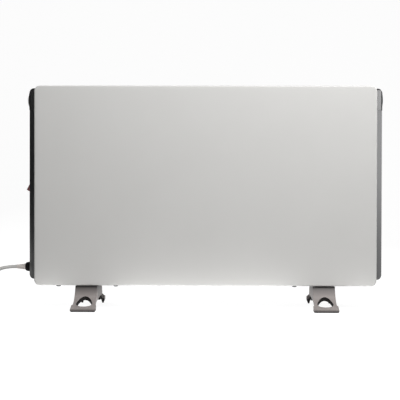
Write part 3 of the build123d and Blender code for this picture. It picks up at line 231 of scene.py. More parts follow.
def shade(colour, factor):
    """A colour made darker or lighter by a factor, each part kept from 0 to 1."""
    return tuple(min(1.0, part * factor) for part in colour)


def powder_coat(name, colour, gloss, peel, sheen=0.5):
    """Baked powder paint, nearly even: a faint orange peel about 1.5 mm across over a fine grain."""
    made = Finish(name)
    place = made.place()
    broad = made.noise(place, 9.0, 2.0)
    orange_peel = made.noise(place, 650.0, 1.0)
    grain = made.noise(place, 2600.0, 2.0)
    tone = made.mix(broad, shade(colour, 0.97), shade(colour, 1.02))
    height = orange_peel * 0.75 + grain * 0.25
    return made.surface(
        {"Metallic": 0.0, "IOR": 1.5, "Specular IOR Level": sheen},
        {"Base Color": tone, "Roughness": gloss + grain * 0.08, "Normal": made.bump(height, peel)},
    )


def moulded(name, colour, gloss, texture, depth, sheen=0.5):
    """Moulded plastic with a spark-eroded grain of the given number per metre and faint flow marks."""
    made = Finish(name)
    place = made.place()
    grain = made.noise(place, texture, 3.0, 0.6)
    flow = made.noise(made.place((1.0, 1.0, 0.2)), 14.0, 2.0)
    tone = made.mix(flow, shade(colour, 0.9), shade(colour, 1.12))
    return made.surface(
        {"Metallic": 0.0, "IOR": 1.49, "Specular IOR Level": sheen},
        {"Base Color": tone, "Roughness": gloss + grain * 0.12, "Normal": made.bump(grain, depth)},
    )


PAINTED_SHADE_TOP = (0.026, 0.042)  # heights over which painted shade darkens a foot upwards, towards the body above it
PAINTED_SHADOW_LINE = (0.0065, 0.0025)  # heights over which painted shadow darkens it down to the floor


def cast_metal(name, colour, metal, gloss):
    """Die-cast metal blasted to a satin: a fine pitted grain, a slow drift of tone and small bright specks.

    Its dark top and dark bottom line are painted shade, set by height: shade under the body above, and shadow
    where it meets the floor."""
    made = Finish(name)
    place = made.place()
    pits = made.noise(place, 1900.0, 4.0, 0.65)
    drift = made.noise(place, 28.0, 3.0)
    tone = made.mix(drift, shade(colour, 0.82), shade(colour, 1.15))
    speck = made.node("MapRange", inputs={"Value": pits, "From Min": 0.56, "From Max": 0.72})
    tone = made.mix(speck * 0.35, tone, shade(colour, 1.5))
    height = made.node("SeparateXYZ", inputs={"Vector": made.node("TexCoord", out="Object")}, out="Z")
    shade_under_body, shadow_at_floor = (
        made.node("MapRange", inputs={"Value": height, "From Min": start, "From Max": end})
        for start, end in (PAINTED_SHADE_TOP, PAINTED_SHADOW_LINE)
    )
    # painted shade: darker towards the top, under the body, and painted shadow along the bottom edge
    tone = made.mix(shade_under_body.maximum(shadow_at_floor * 0.75), tone, shade(colour, 0.2))
    return made.surface(
        {"IOR": 1.5, "Specular IOR Level": 0.3},
        {
            "Base Color": tone,
            "Metallic": metal + drift * 0.1,
            "Roughness": gloss + drift * 0.12 + pits * 0.08,
            "Normal": made.bump(pits, 0.00005),
        },
    )


def rolled_metal(name, colour, gloss, stretch, depth=0.00001):
    """Sheet, extruded or drawn metal with fine lines along the direction in which stretch is small."""
    made = Finish(name)
    lines = made.noise(made.place(stretch), 1400.0, 3.0, 0.6)
    drift = made.noise(made.place(), 20.0, 2.0)
    tone = made.mix(lines, shade(colour, 0.86), shade(colour, 1.08))
    return made.surface(
        {"Metallic": 1.0},
        {
            "Base Color": tone,
            "Roughness": gloss + lines * 0.12 + drift * 0.08,
            "Normal": made.bump(lines, depth),
        },
    )


def zinc_plate(name, colour):
    """Zinc-plated steel with soft crystal spangles a few millimetres across."""
    made = Finish(name)
    place = made.place()
    spangle = made.node("TexVoronoi", inputs={"Vector": place, "Scale": 190.0}, out="Color")
    value = made.node("SeparateColor", inputs={"Color": spangle})
    haze = made.noise(place, 60.0, 3.0)
    tone = made.mix(value, shade(colour, 0.82), shade(colour, 1.1))
    return made.surface(
        {"Metallic": 1.0},
        {"Base Color": tone, "Roughness": 0.32 + value * 0.12 + haze * 0.08},
    )


def soft_plastic(name, colour, gloss, mottle=0.05):
    """Flexible PVC or rubber: an even colour with a faint cloud and a soft, fine skin."""
    made = Finish(name)
    place = made.place()
    cloud = made.noise(place, 120.0, 3.0)
    skin = made.noise(place, 1500.0, 2.0)
    tone = made.mix(cloud, shade(colour, 1 - mottle), shade(colour, 1 + mottle))
    return made.surface(
        {"Metallic": 0.0, "IOR": 1.5},
        {"Base Color": tone, "Roughness": gloss + skin * 0.1, "Normal": made.bump(skin, 0.00003)},
    )


def ceramic_body(name, colour):
    """Unglazed ceramic: chalky, with small darker specks."""
    made = Finish(name)
    place = made.place()
    specks = made.noise(place, 900.0, 4.0, 0.7)
    tone = made.mix(specks, shade(colour, 0.85), shade(colour, 1.08))
    return made.surface(
        {"Metallic": 0.0},
        {"Base Color": tone, "Roughness": 0.7 + specks * 0.15, "Normal": made.bump(specks, 0.00006)},
    )


def rocker_plastic(name, colour):
    """Polished plastic: a deep tone that lightens in soft clouds, under a clear coat."""
    made = Finish(name)
    place = made.place()
    cloud = made.noise(place, 150.0, 2.0)
    tone = made.mix(cloud, shade(colour, 0.8), shade(colour, 1.3))
    return made.surface(
        {"Metallic": 0.0, "IOR": 1.5, "Coat Weight": 0.5, "Coat Roughness": 0.08},
        {"Base Color": tone, "Roughness": 0.22 + cloud * 0.08},
    )


FINISHES = {}


def make_finishes(colours):
    """Makes every material once, under the name of the record's slot that it dresses.

    Matt plastic, which also paints shade on the caps' rims, and the painted shade inside the castings are
    second finishes, and have no slot of their own: the pieces that carry them, on some or all of their faces,
    keep the slot of their first finish."""
    FINISHES["panel_paint"] = powder_coat("panel powder coat", colours.panel, 0.40, 0.00002, 0.3)
    FINISHES["shell_paint"] = powder_coat("shell powder coat", colours.shell, 0.5, 0.00006)
    FINISHES["graphite_plastic"] = moulded("end cover plastic", colours.cheek, 0.26, 1500.0, 0.00002)
    FINISHES["black_plastic"] = moulded("cap plastic", colours.pod, 0.22, 900.0, 0.00001)
    FINISHES["matt_plastic_and_rim_shade"] = moulded("matt plastic and painted rim shade", colours.rim, 0.6, 1500.0, 0.00002, 0.07)
    FINISHES["red_plastic"] = rocker_plastic("rocker plastic", colours.rocker)
    FINISHES["cast_metal"] = cast_metal("cast foot metal", colours.foot, 0.05, 0.40)
    FINISHES["painted_hollow_shade"] = cast_metal("painted shade inside the castings", colours.hollow, 0.0, 0.75)
    FINISHES["zinc_steel"] = zinc_plate("zinc-plated steel", colours.zinc)
    FINISHES["screw_steel"] = rolled_metal("blackened screw steel", colours.screw, 0.3, (1.0, 1.0, 1.0))
    FINISHES["bright_steel"] = rolled_metal("nickel plate", colours.bright, 0.16, (1.0, 0.04, 1.0))
    FINISHES["fin_aluminium"] = rolled_metal("extruded aluminium", colours.fins, 0.28, (0.02, 1.0, 1.0))
    FINISHES["ceramic"] = ceramic_body("ceramic", colours.ceramic)
    FINISHES["pale_rubber"] = soft_plastic("sleeve rubber", colours.sleeve, 0.42)
    FINISHES["black_rubber"] = soft_plastic("pad rubber", colours.rubber, 0.7, 0.15)
    FINISHES["cord_pvc"] = soft_plastic("cord jacket", colours.cord, 0.4)
    FINISHES["tie_plastic"] = soft_plastic("strap plastic", colours.strap, 0.45, 0.1)
    FINISHES["wire_plastic"] = soft_plastic("wire insulation", (0.5, 0.42, 0.3), 0.45, 0.2)


# ---- meshes
MERGE_REACH = 0.000002


@contextmanager
def opened(mesh):
    """A mesh's editable shell, which is written back to the mesh at the end."""
    shell = bmesh.new()
    shell.from_mesh(mesh)
    yield shell
    shell.to_mesh(mesh)
    shell.free()


def grid_mesh(name, points, wrap_rows=False, wrap_columns=False):
    """A mesh of quads through an array of points (rows, columns, 3), joined end to end where wrapped."""
    rows, columns = points.shape[:2]
    index = np.arange(rows * columns).reshape(rows, columns)
    if wrap_rows:
        index = np.vstack([index, index[:1]])
    if wrap_columns:
        index = np.hstack([index, index[:, :1]])
    quads = np.stack([index[:-1, :-1], index[1:, :-1], index[1:, 1:], index[:-1, 1:]], axis=-1).reshape(-1, 4)
    mesh = bpy.data.meshes.new(name)
    mesh.vertices.add(rows * columns)
    mesh.vertices.foreach_set("co", points.reshape(-1).astype(np.float32))
    mesh.loops.add(quads.size)
    mesh.loops.foreach_set("vertex_index", quads.reshape(-1).astype(np.int32))
    mesh.polygons.add(len(quads))
    mesh.polygons.foreach_set("loop_start", np.arange(0, quads.size, 4, dtype=np.int32))
    mesh.update(calc_edges=True)
    return mesh


def closed_up(mesh, angle, reach=MERGE_REACH):
    """Merges points that meet, turns the faces outwards and shades smooth up to an angle in degrees."""
    with opened(mesh) as shell:
        bmesh.ops.remove_doubles(shell, verts=shell.verts, dist=reach)
        bmesh.ops.dissolve_degenerate(shell, edges=shell.edges, dist=reach)
        bmesh.ops.recalc_face_normals(shell, faces=shell.faces)
    shade_smooth(mesh, angle)
    return mesh


def shade_smooth(mesh, angle):
    """Smooth shading, kept sharp over edges steeper than an angle in degrees."""
    mesh.polygons.foreach_set("use_smooth", np.ones(len(mesh.polygons), dtype=bool))
    mesh.set_sharp_from_angle(angle=radians(angle))


def piece(name, mesh, finish, body=BODY, stands_for=()):
    """Puts a mesh into the scene as a piece that rides on a body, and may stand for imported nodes."""
    made = bpy.data.objects.new(name, mesh)
    bpy.context.scene.collection.objects.link(made)
    dress(made, finish)
    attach(made, body)
    if stands_for:
        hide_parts(*stands_for)
    return made


def dress(made, finish):
    """Gives an object the one finish kept under a slot's name."""
    made.data.materials.clear()
    made.data.materials.append(FINISHES[finish])


def softened(node, finish, body=BODY, width=0.0, segments=2, angle=32.0):
    """A merged copy of a node's mesh, shaded smooth, with its edges bevelled where a width is given."""
    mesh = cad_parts[node].data.copy()
    mesh.name = node + "_skin"
    with opened(mesh) as shell:
        bmesh.ops.remove_doubles(shell, verts=shell.verts, dist=MERGE_REACH)
        bmesh.ops.dissolve_limit(shell, angle_limit=radians(0.6), verts=shell.verts, edges=shell.edges)
    shade_smooth(mesh, angle)
    made = piece(node + "_skin", mesh, finish, body, [node])
    if width:
        rounded = made.modifiers.new("edge rounding", "BEVEL")
        rounded.width = width
        rounded.segments = segments
        rounded.limit_method = "ANGLE"
        rounded.angle_limit = radians(angle)
        rounded.harden_normals = True
        rounded.use_clamp_overlap = True
        rounded.miter_outer = "MITER_ARC"
    return made


def revolved(profile, turns=96, change=None):
    """Points of a profile of (height, radius) pairs turned about the z axis.

    A point is (radius cos t, radius sin t, height); change(height, radius, t) may return a new radius."""
    profile = np.asarray(profile, dtype=float)
    turn = np.linspace(0.0, 2 * pi, turns, endpoint=False)
    height, around = np.meshgrid(profile[:, 0], turn, indexing="ij")
    radius = np.repeat(profile[:, 1:2], turns, axis=1)
    if change is not None:
        radius = change(height, radius, around)
    return np.stack([radius * np.cos(around), radius * np.sin(around), height], axis=-1)


def placed(points, origin, axis, across):
    """Points moved so that their z runs along axis and their x along across, from an origin."""
    axis = np.asarray(axis, dtype=float)
    across = np.asarray(across, dtype=float)
    turned = np.stack([across, np.cross(axis, across), axis])
    return points @ turned + np.asarray(origin, dtype=float)


def corner_arc(before, corner, after, reach_in, reach_out, steps):
    """Points of a rounded corner, from a reach before it to a reach after it.

    A point is (1-t)^2 a + 2t(1-t) corner + t^2 b, with a and b those two ends."""
    run_in = before - corner
    run_out = after - corner
    start = corner + run_in / np.linalg.norm(run_in) * reach_in
    end = corner + run_out / np.linalg.norm(run_out) * reach_out
    t = np.linspace(0.0, 1.0, steps)[:, None]
    return (1 - t) ** 2 * start + 2 * t * (1 - t) * corner + t**2 * end


def rounded_profile(corners, radius, steps):
    """A run of (height, radius) corners with each inner corner rounded, over at most 0.45 of its sides."""
    corners = np.array(corners, dtype=float)
    line = [corners[:1]]
    for before, corner, after in zip(corners, corners[1:], corners[2:]):
        reach_in = min(radius, np.linalg.norm(before - corner) * 0.45)
        reach_out = min(radius, np.linalg.norm(after - corner) * 0.45)
        line.append(corner_arc(before, corner, after, reach_in, reach_out, steps))
    return np.vstack([*line, corners[-1:]])


# ---- stage
FRONT_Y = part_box("front_panel")[0][1]
# the camera's place in metres and its turns in degrees
CAMERA_X = 0.032
CAMERA_Z = 0.252
CAMERA_YAW = 0.965
CAMERA_PITCH = -0.774
CAMERA_ROLL = 0.125
WHITE = (1.0, 1.0, 1.0, 1.0)
WORLD_STRENGTH = 0.068
GROUND_GLOW = 0.93
FLOOR_FRONT = -1.2
FLOOR_HALF_WIDTH = 7.0
BACKDROP_START = 2.5
BACKDROP_TOP = 6.0
AIM = (0.0, 0.0, 0.25)
# name, place, width, height and watts of each lamp, fitted to the photo's tones
LAMPS = (
    ("key", (0.5, -0.9, 1.35), 0.9, 0.5, 23.0),
    ("front fill", (0.0, -1.8, 1.2), 1.2, 0.8, 5.4),
    ("right rear", (2.0, 0.7, 0.9), 0.8, 1.6, 13.0),
    ("left rear", (-1.5, 1.9, 1.3), 1.6, 1.2, 34.0),
)
# middle and width of each strip of light on the floor before the panel, fitted to its lower lip in the photo
FLOOR_STRIPS = ((0.0, 0.38), (-0.315, 0.07), (0.315, 0.07))
STRIP_Y = -0.057
STRIP_Z = 0.002
STRIP_DEPTH = 0.04
STRIP_GLOW = 11.4
FLAG_X = -1.5


def make_camera(sizes):
    """The photo's camera: a long lens a little to the right of the middle."""
    data = bpy.data.cameras.new("photo camera")
    data.lens = sizes.camera_lens
    data.sensor_width = 36.0
    data.clip_end = 50.0
    camera = bpy.data.objects.new("photo camera", data)
    turn = (
        Matrix.Rotation(radians(CAMERA_YAW), 4, "Z")
        @ Matrix.Rotation(radians(90.0 + CAMERA_PITCH), 4, "X")
        @ Matrix.Rotation(radians(CAMERA_ROLL), 4, "Z")
    )
    camera.matrix_world = Matrix.Translation((CAMERA_X, FRONT_Y - sizes.camera_distance, CAMERA_Z)) @ turn
    bpy.context.scene.collection.objects.link(camera)
    bpy.context.scene.camera = camera


def area_light(name, place, aim, width, height, power):
    """A soft box at a place, turned towards an aim."""
    data = bpy.data.lights.new(name, "AREA")
    data.shape = "RECTANGLE"
    data.size = width
    data.size_y = height
    data.energy = power
    lamp = bpy.data.objects.new(name, data)
    lamp.location = place
    lamp.rotation_euler = (Vector(aim) - Vector(place)).to_track_quat("-Z", "Y").to_euler()
    bpy.context.scene.collection.objects.link(lamp)


def stage_material():
    """A pale matt ground that shows as white to the eye and in gloss, with the object's shadow kept."""
    made = Finish("pale ground")
    matt = made.node("BsdfDiffuse", inputs={"Color": (0.34, 0.34, 0.34, 1.0)})
    dim = made.node("BsdfDiffuse", inputs={"Color": (0.20, 0.20, 0.20, 1.0)})
    glow = made.node("Emission", inputs={"Color": WHITE, "Strength": GROUND_GLOW})
    lit = made.node("AddShader", inputs={0: dim, 1: glow})
    mixed = made.node("MixShader", inputs={"Fac": made.seen(), 1: matt, 2: lit})
    made.node("OutputMaterial", inputs={"Surface": mixed})
    return made.material


def make_flag():
    """A black card on the left that only gloss sees: a flat sheet of (y, z) at one x."""
    y, z = np.meshgrid(np.linspace(-0.7, 1.4, 3), np.linspace(0.0, 1.5, 3), indexing="ij")
    mesh = grid_mesh("black flag", np.stack([np.full_like(y, FLAG_X), y, z], axis=-1))
    flag = bpy.data.objects.new("black flag", mesh)
    made = Finish("black card")
    black = made.node("BsdfDiffuse", inputs={"Color": (0.01, 0.01, 0.01, 1.0)})
    made.node("OutputMaterial", inputs={"Surface": black})
    mesh.materials.append(made.material)
    flag.visible_camera = False
    flag.visible_diffuse = False
    flag.visible_shadow = False
    bpy.context.scene.collection.objects.link(flag)


def make_stage(sizes):
    """A pale floor that rises into a backdrop, soft lights, the camera and the world.

    The ground is a profile of (y, z) carried along x."""
    bend = np.linspace(0.0, pi / 2, 16)
    y = np.concatenate([[FLOOR_FRONT], BACKDROP_START + np.sin(bend), [BACKDROP_START + 1.0]])
    z = np.concatenate([[0.0], 1.0 - np.cos(bend), [BACKDROP_TOP]])
    x = np.linspace(-FLOOR_HALF_WIDTH, FLOOR_HALF_WIDTH, 3)
    points = np.stack(
        [np.repeat(x[:, None], len(y), 1), np.repeat(y[None], 3, 0), np.repeat(z[None], 3, 0)], axis=-1
    )
    mesh = grid_mesh("ground", points)
    shade_smooth(mesh, 60.0)
    ground = bpy.data.objects.new("ground", mesh)
    ground.data.materials.append(stage_material())
    bpy.context.scene.collection.objects.link(ground)

    bpy.context.scene.view_settings.view_transform = "Standard"
    make_camera(sizes)
    for name, place, width, height, power in LAMPS:
        area_light(name, place, AIM, width, height, power)
    for x, width in FLOOR_STRIPS:
        power = STRIP_GLOW * width * STRIP_DEPTH
        area_light("floor strip", (x, STRIP_Y, STRIP_Z), (x, STRIP_Y, 1.0), width, STRIP_DEPTH, power)
    make_flag()

    world = bpy.data.worlds.new("studio")
    world.use_nodes = True
    studio = Nodes(world.node_tree)
    soft = studio.node("Background", inputs={"Color": WHITE, "Strength": WORLD_STRENGTH})
    white = studio.node("Background", inputs={"Color": WHITE, "Strength": 1.0})
    mixed = studio.node("MixShader", inputs={"Fac": studio.seen(), 1: soft, 2: white})
    studio.node("OutputWorld", inputs={"Surface": mixed})
    bpy.context.scene.world = world


# ---- mains cord
CONTROL_Y = 0.010
FLOOR_RUN_Z = 0.0045
UPPER_RUN_Z = 0.0122
COIL_CENTRE = np.array([-0.5132, -0.0395])
LEAD_POINTS = [
    (-0.384, CONTROL_Y, 0.0812),
    (-0.409, CONTROL_Y, 0.0812),
    (-0.4325, CONTROL_Y, 0.0695),
    (-0.447, CONTROL_Y, 0.0455),
    (-0.459, CONTROL_Y, 0.023),
    (-0.475, CONTROL_Y, 0.0095),
    (-0.494, CONTROL_Y, FLOOR_RUN_Z),
]
END_POINTS = [
    (-0.5385, 0.0023, UPPER_RUN_Z),
    (-0.555, 0.0098, 0.014),
    (-0.567, 0.0238, 0.0164),
    (-0.572, 0.0413, 0.0187),
    (-0.572, 0.0588, 0.0187),
]
PLUG_REAR = np.array(END_POINTS[-1])
LOWER_HALVES = 5
UPPER_HALVES = 4
POINTS_PER_HALF = 8


def coil_ends(radius, pitch):
    """Where the coil's half turns meet: (distance behind the coil's centre, height), in order."""
    ends = []
    for half in range(LOWER_HALVES + 1):
        behind = 1 if half % 2 == 0 else -1
        ends.append((behind * (radius - half // 2 * pitch), FLOOR_RUN_Z))
    ends.append((radius - (LOWER_HALVES + 1) / 2 * pitch, UPPER_RUN_Z))
    for half in range(UPPER_HALVES):
        behind = -1 if half % 2 == 0 else 1
        inset = (1 if behind < 0 else 2) - half // 2
        ends.append((behind * (radius - inset * pitch), UPPER_RUN_Z))
    return ends


def coil_points(radius, pitch):
    """Control points of the coil's turns.

    In each half turn a point is centre + reach (sin t, cos t), t from 0 to 180 degrees, where reach is
    half the distance between the ends, let out so that the smooth line through the points keeps it."""
    let_out = 1 / (0.75 + 0.25 * cos(pi / POINTS_PER_HALF))
    points = []
    ends = coil_ends(radius, pitch)
    for number, ((start, low), (end, high)) in enumerate(zip(ends, ends[1:])):
        outwards = -1 if number % 2 == 0 else 1
        reach = abs(start - end) / 2 * let_out
        centre = (start + end) / 2
        way = 1 if start > end else -1
        for step in range(POINTS_PER_HALF):
            t = pi * (step + 0.5) / POINTS_PER_HALF
            points.append(
                (
                    COIL_CENTRE[0] + outwards * reach * sin(t),
                    COIL_CENTRE[1] + centre + way * reach * cos(t),
                    low + (high - low) * (1 - cos(t)) / 2,
                )
            )
    return points


def make_cord(sizes):
    """The mains cord: one smooth line from the sleeve to the floor, through its tied coil and to the plug."""
    points = LEAD_POINTS + coil_points(sizes.coil_radius, sizes.coil_pitch) + END_POINTS
    curve = bpy.data.curves.new("mains_cord", "CURVE")
    curve.dimensions = "3D"
    curve.bevel_depth = sizes.cord_diameter / 2
    curve.bevel_resolution = 6
    curve.resolution_u = 6
    curve.use_fill_caps = True
    spline = curve.splines.new("NURBS")
    spline.points.add(len(points) - 1)
    spline.points.foreach_set("co", np.array([(*point, 1.0) for point in points]).reshape(-1))
    spline.order_u = 3
    spline.use_endpoint_u = True
    curve.materials.append(FINISHES["cord_pvc"])
    cord = bpy.data.objects.new("mains_cord", curve)
    bpy.context.scene.collection.objects.link(cord)
    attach(cord, BODY)
    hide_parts("cord_lead", "cord_coil", "cord_end")


def make_tie():
    """The strap round the coil: a flat band carried along the bundle's outline, with one corner cut off."""
    low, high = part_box("cord_tie")
    wall = 0.0008
    cut = 0.0077
    bend = 0.0022
    left, right, bottom, top = low[0] + wall / 2, high[0] - wall / 2, low[2] + wall / 2, high[2] - wall / 2
    corners = np.array([(right, bottom), (right, top), (left + cut, top), (left, top - cut), (left, bottom)])
    sides = zip(np.roll(corners, 1, axis=0), corners, np.roll(corners, -1, axis=0))
    outline = np.vstack([corner_arc(*side, bend, bend, 7) for side in sides])
    middle_y = (low[1] + high[1]) / 2
    half = (high[1] - low[1]) / 2 - 0.0004
    # the band's own section is a flat oval: (half |cos a|^0.5, wall/2 |sin a|^0.7), signs kept
    a = np.linspace(0.0, 2 * pi, 20, endpoint=False)
    along = np.sign(np.cos(a)) * np.abs(np.cos(a)) ** 0.5 * half
    out = np.sign(np.sin(a)) * np.abs(np.sin(a)) ** 0.7 * wall / 2
    ahead = np.roll(outline, -1, axis=0) - np.roll(outline, 1, axis=0)
    ahead /= np.linalg.norm(ahead, axis=1)[:, None]
    normal = np.stack([ahead[:, 1], -ahead[:, 0]], axis=1)
    flat = outline[:, None, :] + out[None, :, None] * normal[:, None, :]
    across = np.broadcast_to(middle_y + along, flat.shape[:2])
    points = np.stack([flat[..., 0], across, flat[..., 1]], axis=-1)
    mesh = closed_up(grid_mesh("coil_strap", points, True, True), 50.0)
    piece("coil_strap", mesh, "tie_plastic", BODY, ["cord_tie"])


# ---- plug
PLUG_ROUNDING = 0.0022
RIB_START = 0.024
RIB_END = 0.042
RIB_DEPTH = 0.0005
RIB_WAVES = 14
CLIP_GROOVE_DEPTH = 0.0028
CLIP_GROOVE_LENGTH = 0.016
PIN_RADIUS = 0.0024
PIN_OFFSET = 0.0095
CLIP_HALF_WIDTH = 0.0023
CLIP_HALF_WALL = 0.0002


def make_plug():
    """A round two-pin plug: a turned body with finger ribs, domed pins and bowed earth clips."""
    low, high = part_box("plug_body")
    reach = high[1] - low[1]
    radius = (high[2] - low[2]) / 2
    profile = rounded_profile(
        [
            (0.0, 0.0),
            (0.0, 0.0046),
            (0.020, 0.0064),
            (0.0235, 0.0118),
            (0.0335, 0.0145),
            (0.0405, 0.0150),
            (0.0465, radius - 0.0002),
            (reach, radius - 0.0002),
            (reach, 0.0),
        ],
        PLUG_ROUNDING,
        6,
    )

    def ribs(height, across, around):
        """Grip ribs: the radius falls by a depth times a squared sine, between two heights."""
        band = np.clip((height - RIB_START) / 0.003, 0, 1) * np.clip((RIB_END - height) / 0.003, 0, 1)
        grooves = RIB_DEPTH * band * np.sin(around * RIB_WAVES) ** 2
        # two flat grooves on opposite sides take the earth clips
        side = np.abs(np.cos(around)) > 0.96
        slot = CLIP_GROOVE_DEPTH * side * np.clip((height - reach + CLIP_GROOVE_LENGTH) / 0.0006, 0, 1)
        return np.where(across > 0.004, across - grooves - slot, across)

    dense = np.array([profile[0]])
    for start, end in zip(profile, profile[1:]):
        steps = max(2, int(np.linalg.norm(end - start) / 0.0009) + 1)
        dense = np.vstack([dense, start + (end - start) * np.linspace(0, 1, steps)[1:, None]])
    points = placed(revolved(dense, 168, ribs), PLUG_REAR, (0, 1, 0), (0, 0, 1))
    mesh = closed_up(grid_mesh("plug_body_skin", points, False, True), 40.0)
    piece("plug_body_skin", mesh, "cord_pvc", BODY, ["plug_body"])

    pin_low, pin_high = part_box("plug_pins")
    reach = pin_high[1] - pin_low[1]
    pin_profile = rounded_profile(
        [(0.0, 0.0), (0.0, PIN_RADIUS), (reach, PIN_RADIUS), (reach, 0.0)], 0.75 * PIN_RADIUS, 8
    )
    pins = []
    for side in (-1, 1):
        centre = (PLUG_REAR[0], pin_low[1], PLUG_REAR[2] + side * PIN_OFFSET)
        pins.append(placed(revolved(pin_profile, 40), centre, (0, 1, 0), (0, 0, 1)))
    joined = join_meshes("plug_pins_skin", [grid_mesh("pin", points, False, True) for points in pins])
    piece("plug_pins_skin", closed_up(joined, 40.0), "bright_steel", BODY, ["plug_pins"])

    clip_low, clip_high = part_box("plug_earth_clips")
    # a clip is a bent strip: its distance from the axis bows by 0.6 mm times a sine along its length
    t = np.linspace(0.0, 1.0, 20)
    strips = []
    for side, edge in ((-1, clip_low[0]), (1, clip_high[0])):
        bow = edge - side * (0.0007 - 0.0006 * np.sin(pi * t))
        for_y = clip_low[1] + t * (clip_high[1] - clip_low[1])
        section = [(a * CLIP_HALF_WALL, b * CLIP_HALF_WIDTH) for a, b in ((1, 1), (1, -1), (-1, -1), (-1, 1))]
        rows = [np.stack([bow + dx, for_y, PLUG_REAR[2] + dz + 0 * t], axis=-1) for dx, dz in section]
        strips.append(capped(grid_mesh("clip", np.stack(rows, axis=1), False, True)))
    joined = join_meshes("plug_clips", strips)
    piece("plug_clips", closed_up(joined, 40.0), "bright_steel", BODY, ["plug_earth_clips"])


def capped(mesh):
    """Fills a tube's open ends."""
    with opened(mesh) as shell:
        bmesh.ops.holes_fill(shell, edges=[edge for edge in shell.edges if edge.is_boundary], sides=0)
    return mesh


def join_meshes(name, meshes):
    """One mesh from several."""
    shell = bmesh.new()
    for mesh in meshes:
        shell.from_mesh(mesh)
        bpy.data.meshes.remove(mesh)
    joined = bpy.data.meshes.new(name)
    shell.to_mesh(joined)
    shell.free()
    return joined


# ---- front panel
STRAIGHT_SHARE = 0.7  # of the points of each side; the rest are its corner's


def inset_outline(width, height, corner, inset, around):
    """Points of a rounded rectangle drawn in by an inset, one for each value of around from 0 to 1.

    Each quarter has the same share of points on its straight runs and its corner at every inset, so that
    the same value of around lies on one line from the edge to the middle."""
    half_w = width / 2 - inset
    half_h = max(height / 2 - inset, 0.0)
    radius = max(min(corner - inset, half_h), min(0.0004, half_h))
    points = np.zeros((len(around), 2))
    quarter = (around * 4) % 1.0
    number = (around * 4).astype(int) % 4
    for side in range(4):
        chosen = number == side
        t = quarter[chosen]
        flat = np.clip(t / STRAIGHT_SHARE, 0, 1)
        bend = np.clip((t - STRAIGHT_SHARE) / (1 - STRAIGHT_SHARE), 0, 1) * pi / 2
        if side % 2 == 0:
            run = -(half_w - radius) + 2 * (half_w - radius) * flat
            out = half_h - radius
        else:
            run = -(half_h - radius) + 2 * (half_h - radius) * flat
            out = half_w - radius
        local = np.stack([run + radius * np.sin(bend), out + radius * np.cos(bend)], axis=1)
        turn = -side * pi / 2
        points[chosen, 0] = local[:, 0] * cos(turn) - local[:, 1] * sin(turn)
        points[chosen, 1] = local[:, 0] * sin(turn) + local[:, 1] * cos(turn)
    return points


def make_front_panel(sizes):
    """The front sheet: a section carried round a rounded rectangle.

    The section starts on the middle line of the face, runs out over a slight crown, rolls over the edge,
    goes back along the rim, turns in along the lip and comes back inside at the sheet's thickness. The
    crown is y = front + crown (x^2/a^2 + z^2/b^2)/2."""
    low, high = (np.array(corner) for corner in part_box("front_panel"))
    width, height, depth = high[0] - low[0], high[2] - low[2], high[1] - low[1]
    middle_z = (low[2] + high[2]) / 2
    roll, wall, lip = sizes.panel_roll, sizes.panel_wall, sizes.panel_lip
    bend = np.linspace(0.0, pi / 2, 10)

    face = [(inset, 0.0) for inset in np.linspace(height / 2, roll, 16)]
    rolled = [(roll - roll * sin(angle), roll - roll * cos(angle)) for angle in bend[1:]]
    turn = 0.0009
    inner_turn = 0.0004
    back = depth - turn
    rim = [(0.0, back * 0.5), (0.0, back)]
    turned = [(turn - turn * cos(angle), back + turn * sin(angle)) for angle in bend[2::2]]
    lip_run = [(lip, depth), (lip, depth - wall), (wall + inner_turn, depth - wall)]
    inner_roll = roll - wall
    inside = [(wall, depth - wall - inner_turn), (wall, roll)]
    inside += [(roll - inner_roll * cos(angle), roll - inner_roll * sin(angle)) for angle in bend[1:]]
    inside += [(inset, wall) for inset in np.linspace(roll, height / 2, 12)[1:]]
    section = face + rolled + rim + turned + lip_run + inside

    around = np.linspace(0.0, 1.0, 200, endpoint=False)
    rows = []
    for inset, deep in section:
        outline = inset_outline(width, height, sizes.panel_corner, inset, around)
        spread = (outline[:, 0] / (width / 2)) ** 2 + (outline[:, 1] / (height / 2)) ** 2
        crown = sizes.panel_crown / 2 * spread
        weight = np.clip(1 - deep / roll, 0, 1) if deep < roll else 0.0
        y = low[1] + deep + crown * weight
        rows.append(np.stack([outline[:, 0] + (low[0] + high[0]) / 2, y, outline[:, 1] + middle_z], axis=1))
    mesh = closed_up(grid_mesh("front_panel_skin", np.array(rows), False, True), 50.0, 0.00001)
    piece("front_panel_skin", mesh, "panel_paint", BODY, ["front_panel"])


# ---- rear shell and end covers
def make_rear_shell():
    """The rear shell, whose edges stay as packed, and the outlet grille with its edges rounded."""
    softened("rear_cover", "shell_paint", angle=14.0)
    softened("outlet_grille", "shell_paint", width=0.0003, angle=40.0)


def face_table(mesh):
    """The centres and the normals of a mesh's faces, each as an array of rows x, y, z."""
    centres = np.empty(3 * len(mesh.polygons))
    normals = np.empty(3 * len(mesh.polygons))
    mesh.polygons.foreach_get("center", centres)
    mesh.polygons.foreach_get("normal", normals)
    return centres.reshape(-1, 3).T, normals.reshape(-1, 3).T


def second_finish(made, finish, chosen):
    """Gives the chosen faces of a piece another finish than the rest of it."""
    made.data.materials.append(FINISHES[finish])
    made.data.polygons.foreach_set("material_index", chosen.astype(np.int32))


def cut_across(mesh, place, way):
    """Adds edges where a plane crosses the mesh, and keeps its shape."""
    with opened(mesh) as shell:
        parts = shell.verts[:] + shell.edges[:] + shell.faces[:]
        bmesh.ops.bisect_plane(shell, geom=parts, dist=0.000001, plane_co=place, plane_no=way)


# beyond these a cap is darker and matt: painted shade on its outer and upper rims; beyond these a cap is
# matt, to match the dark rims in the photo, which may be a shape or shade in reality
CAP_RIM_SHADE_X = 0.3530
CAP_RIM_SHADE_Z = 0.4390


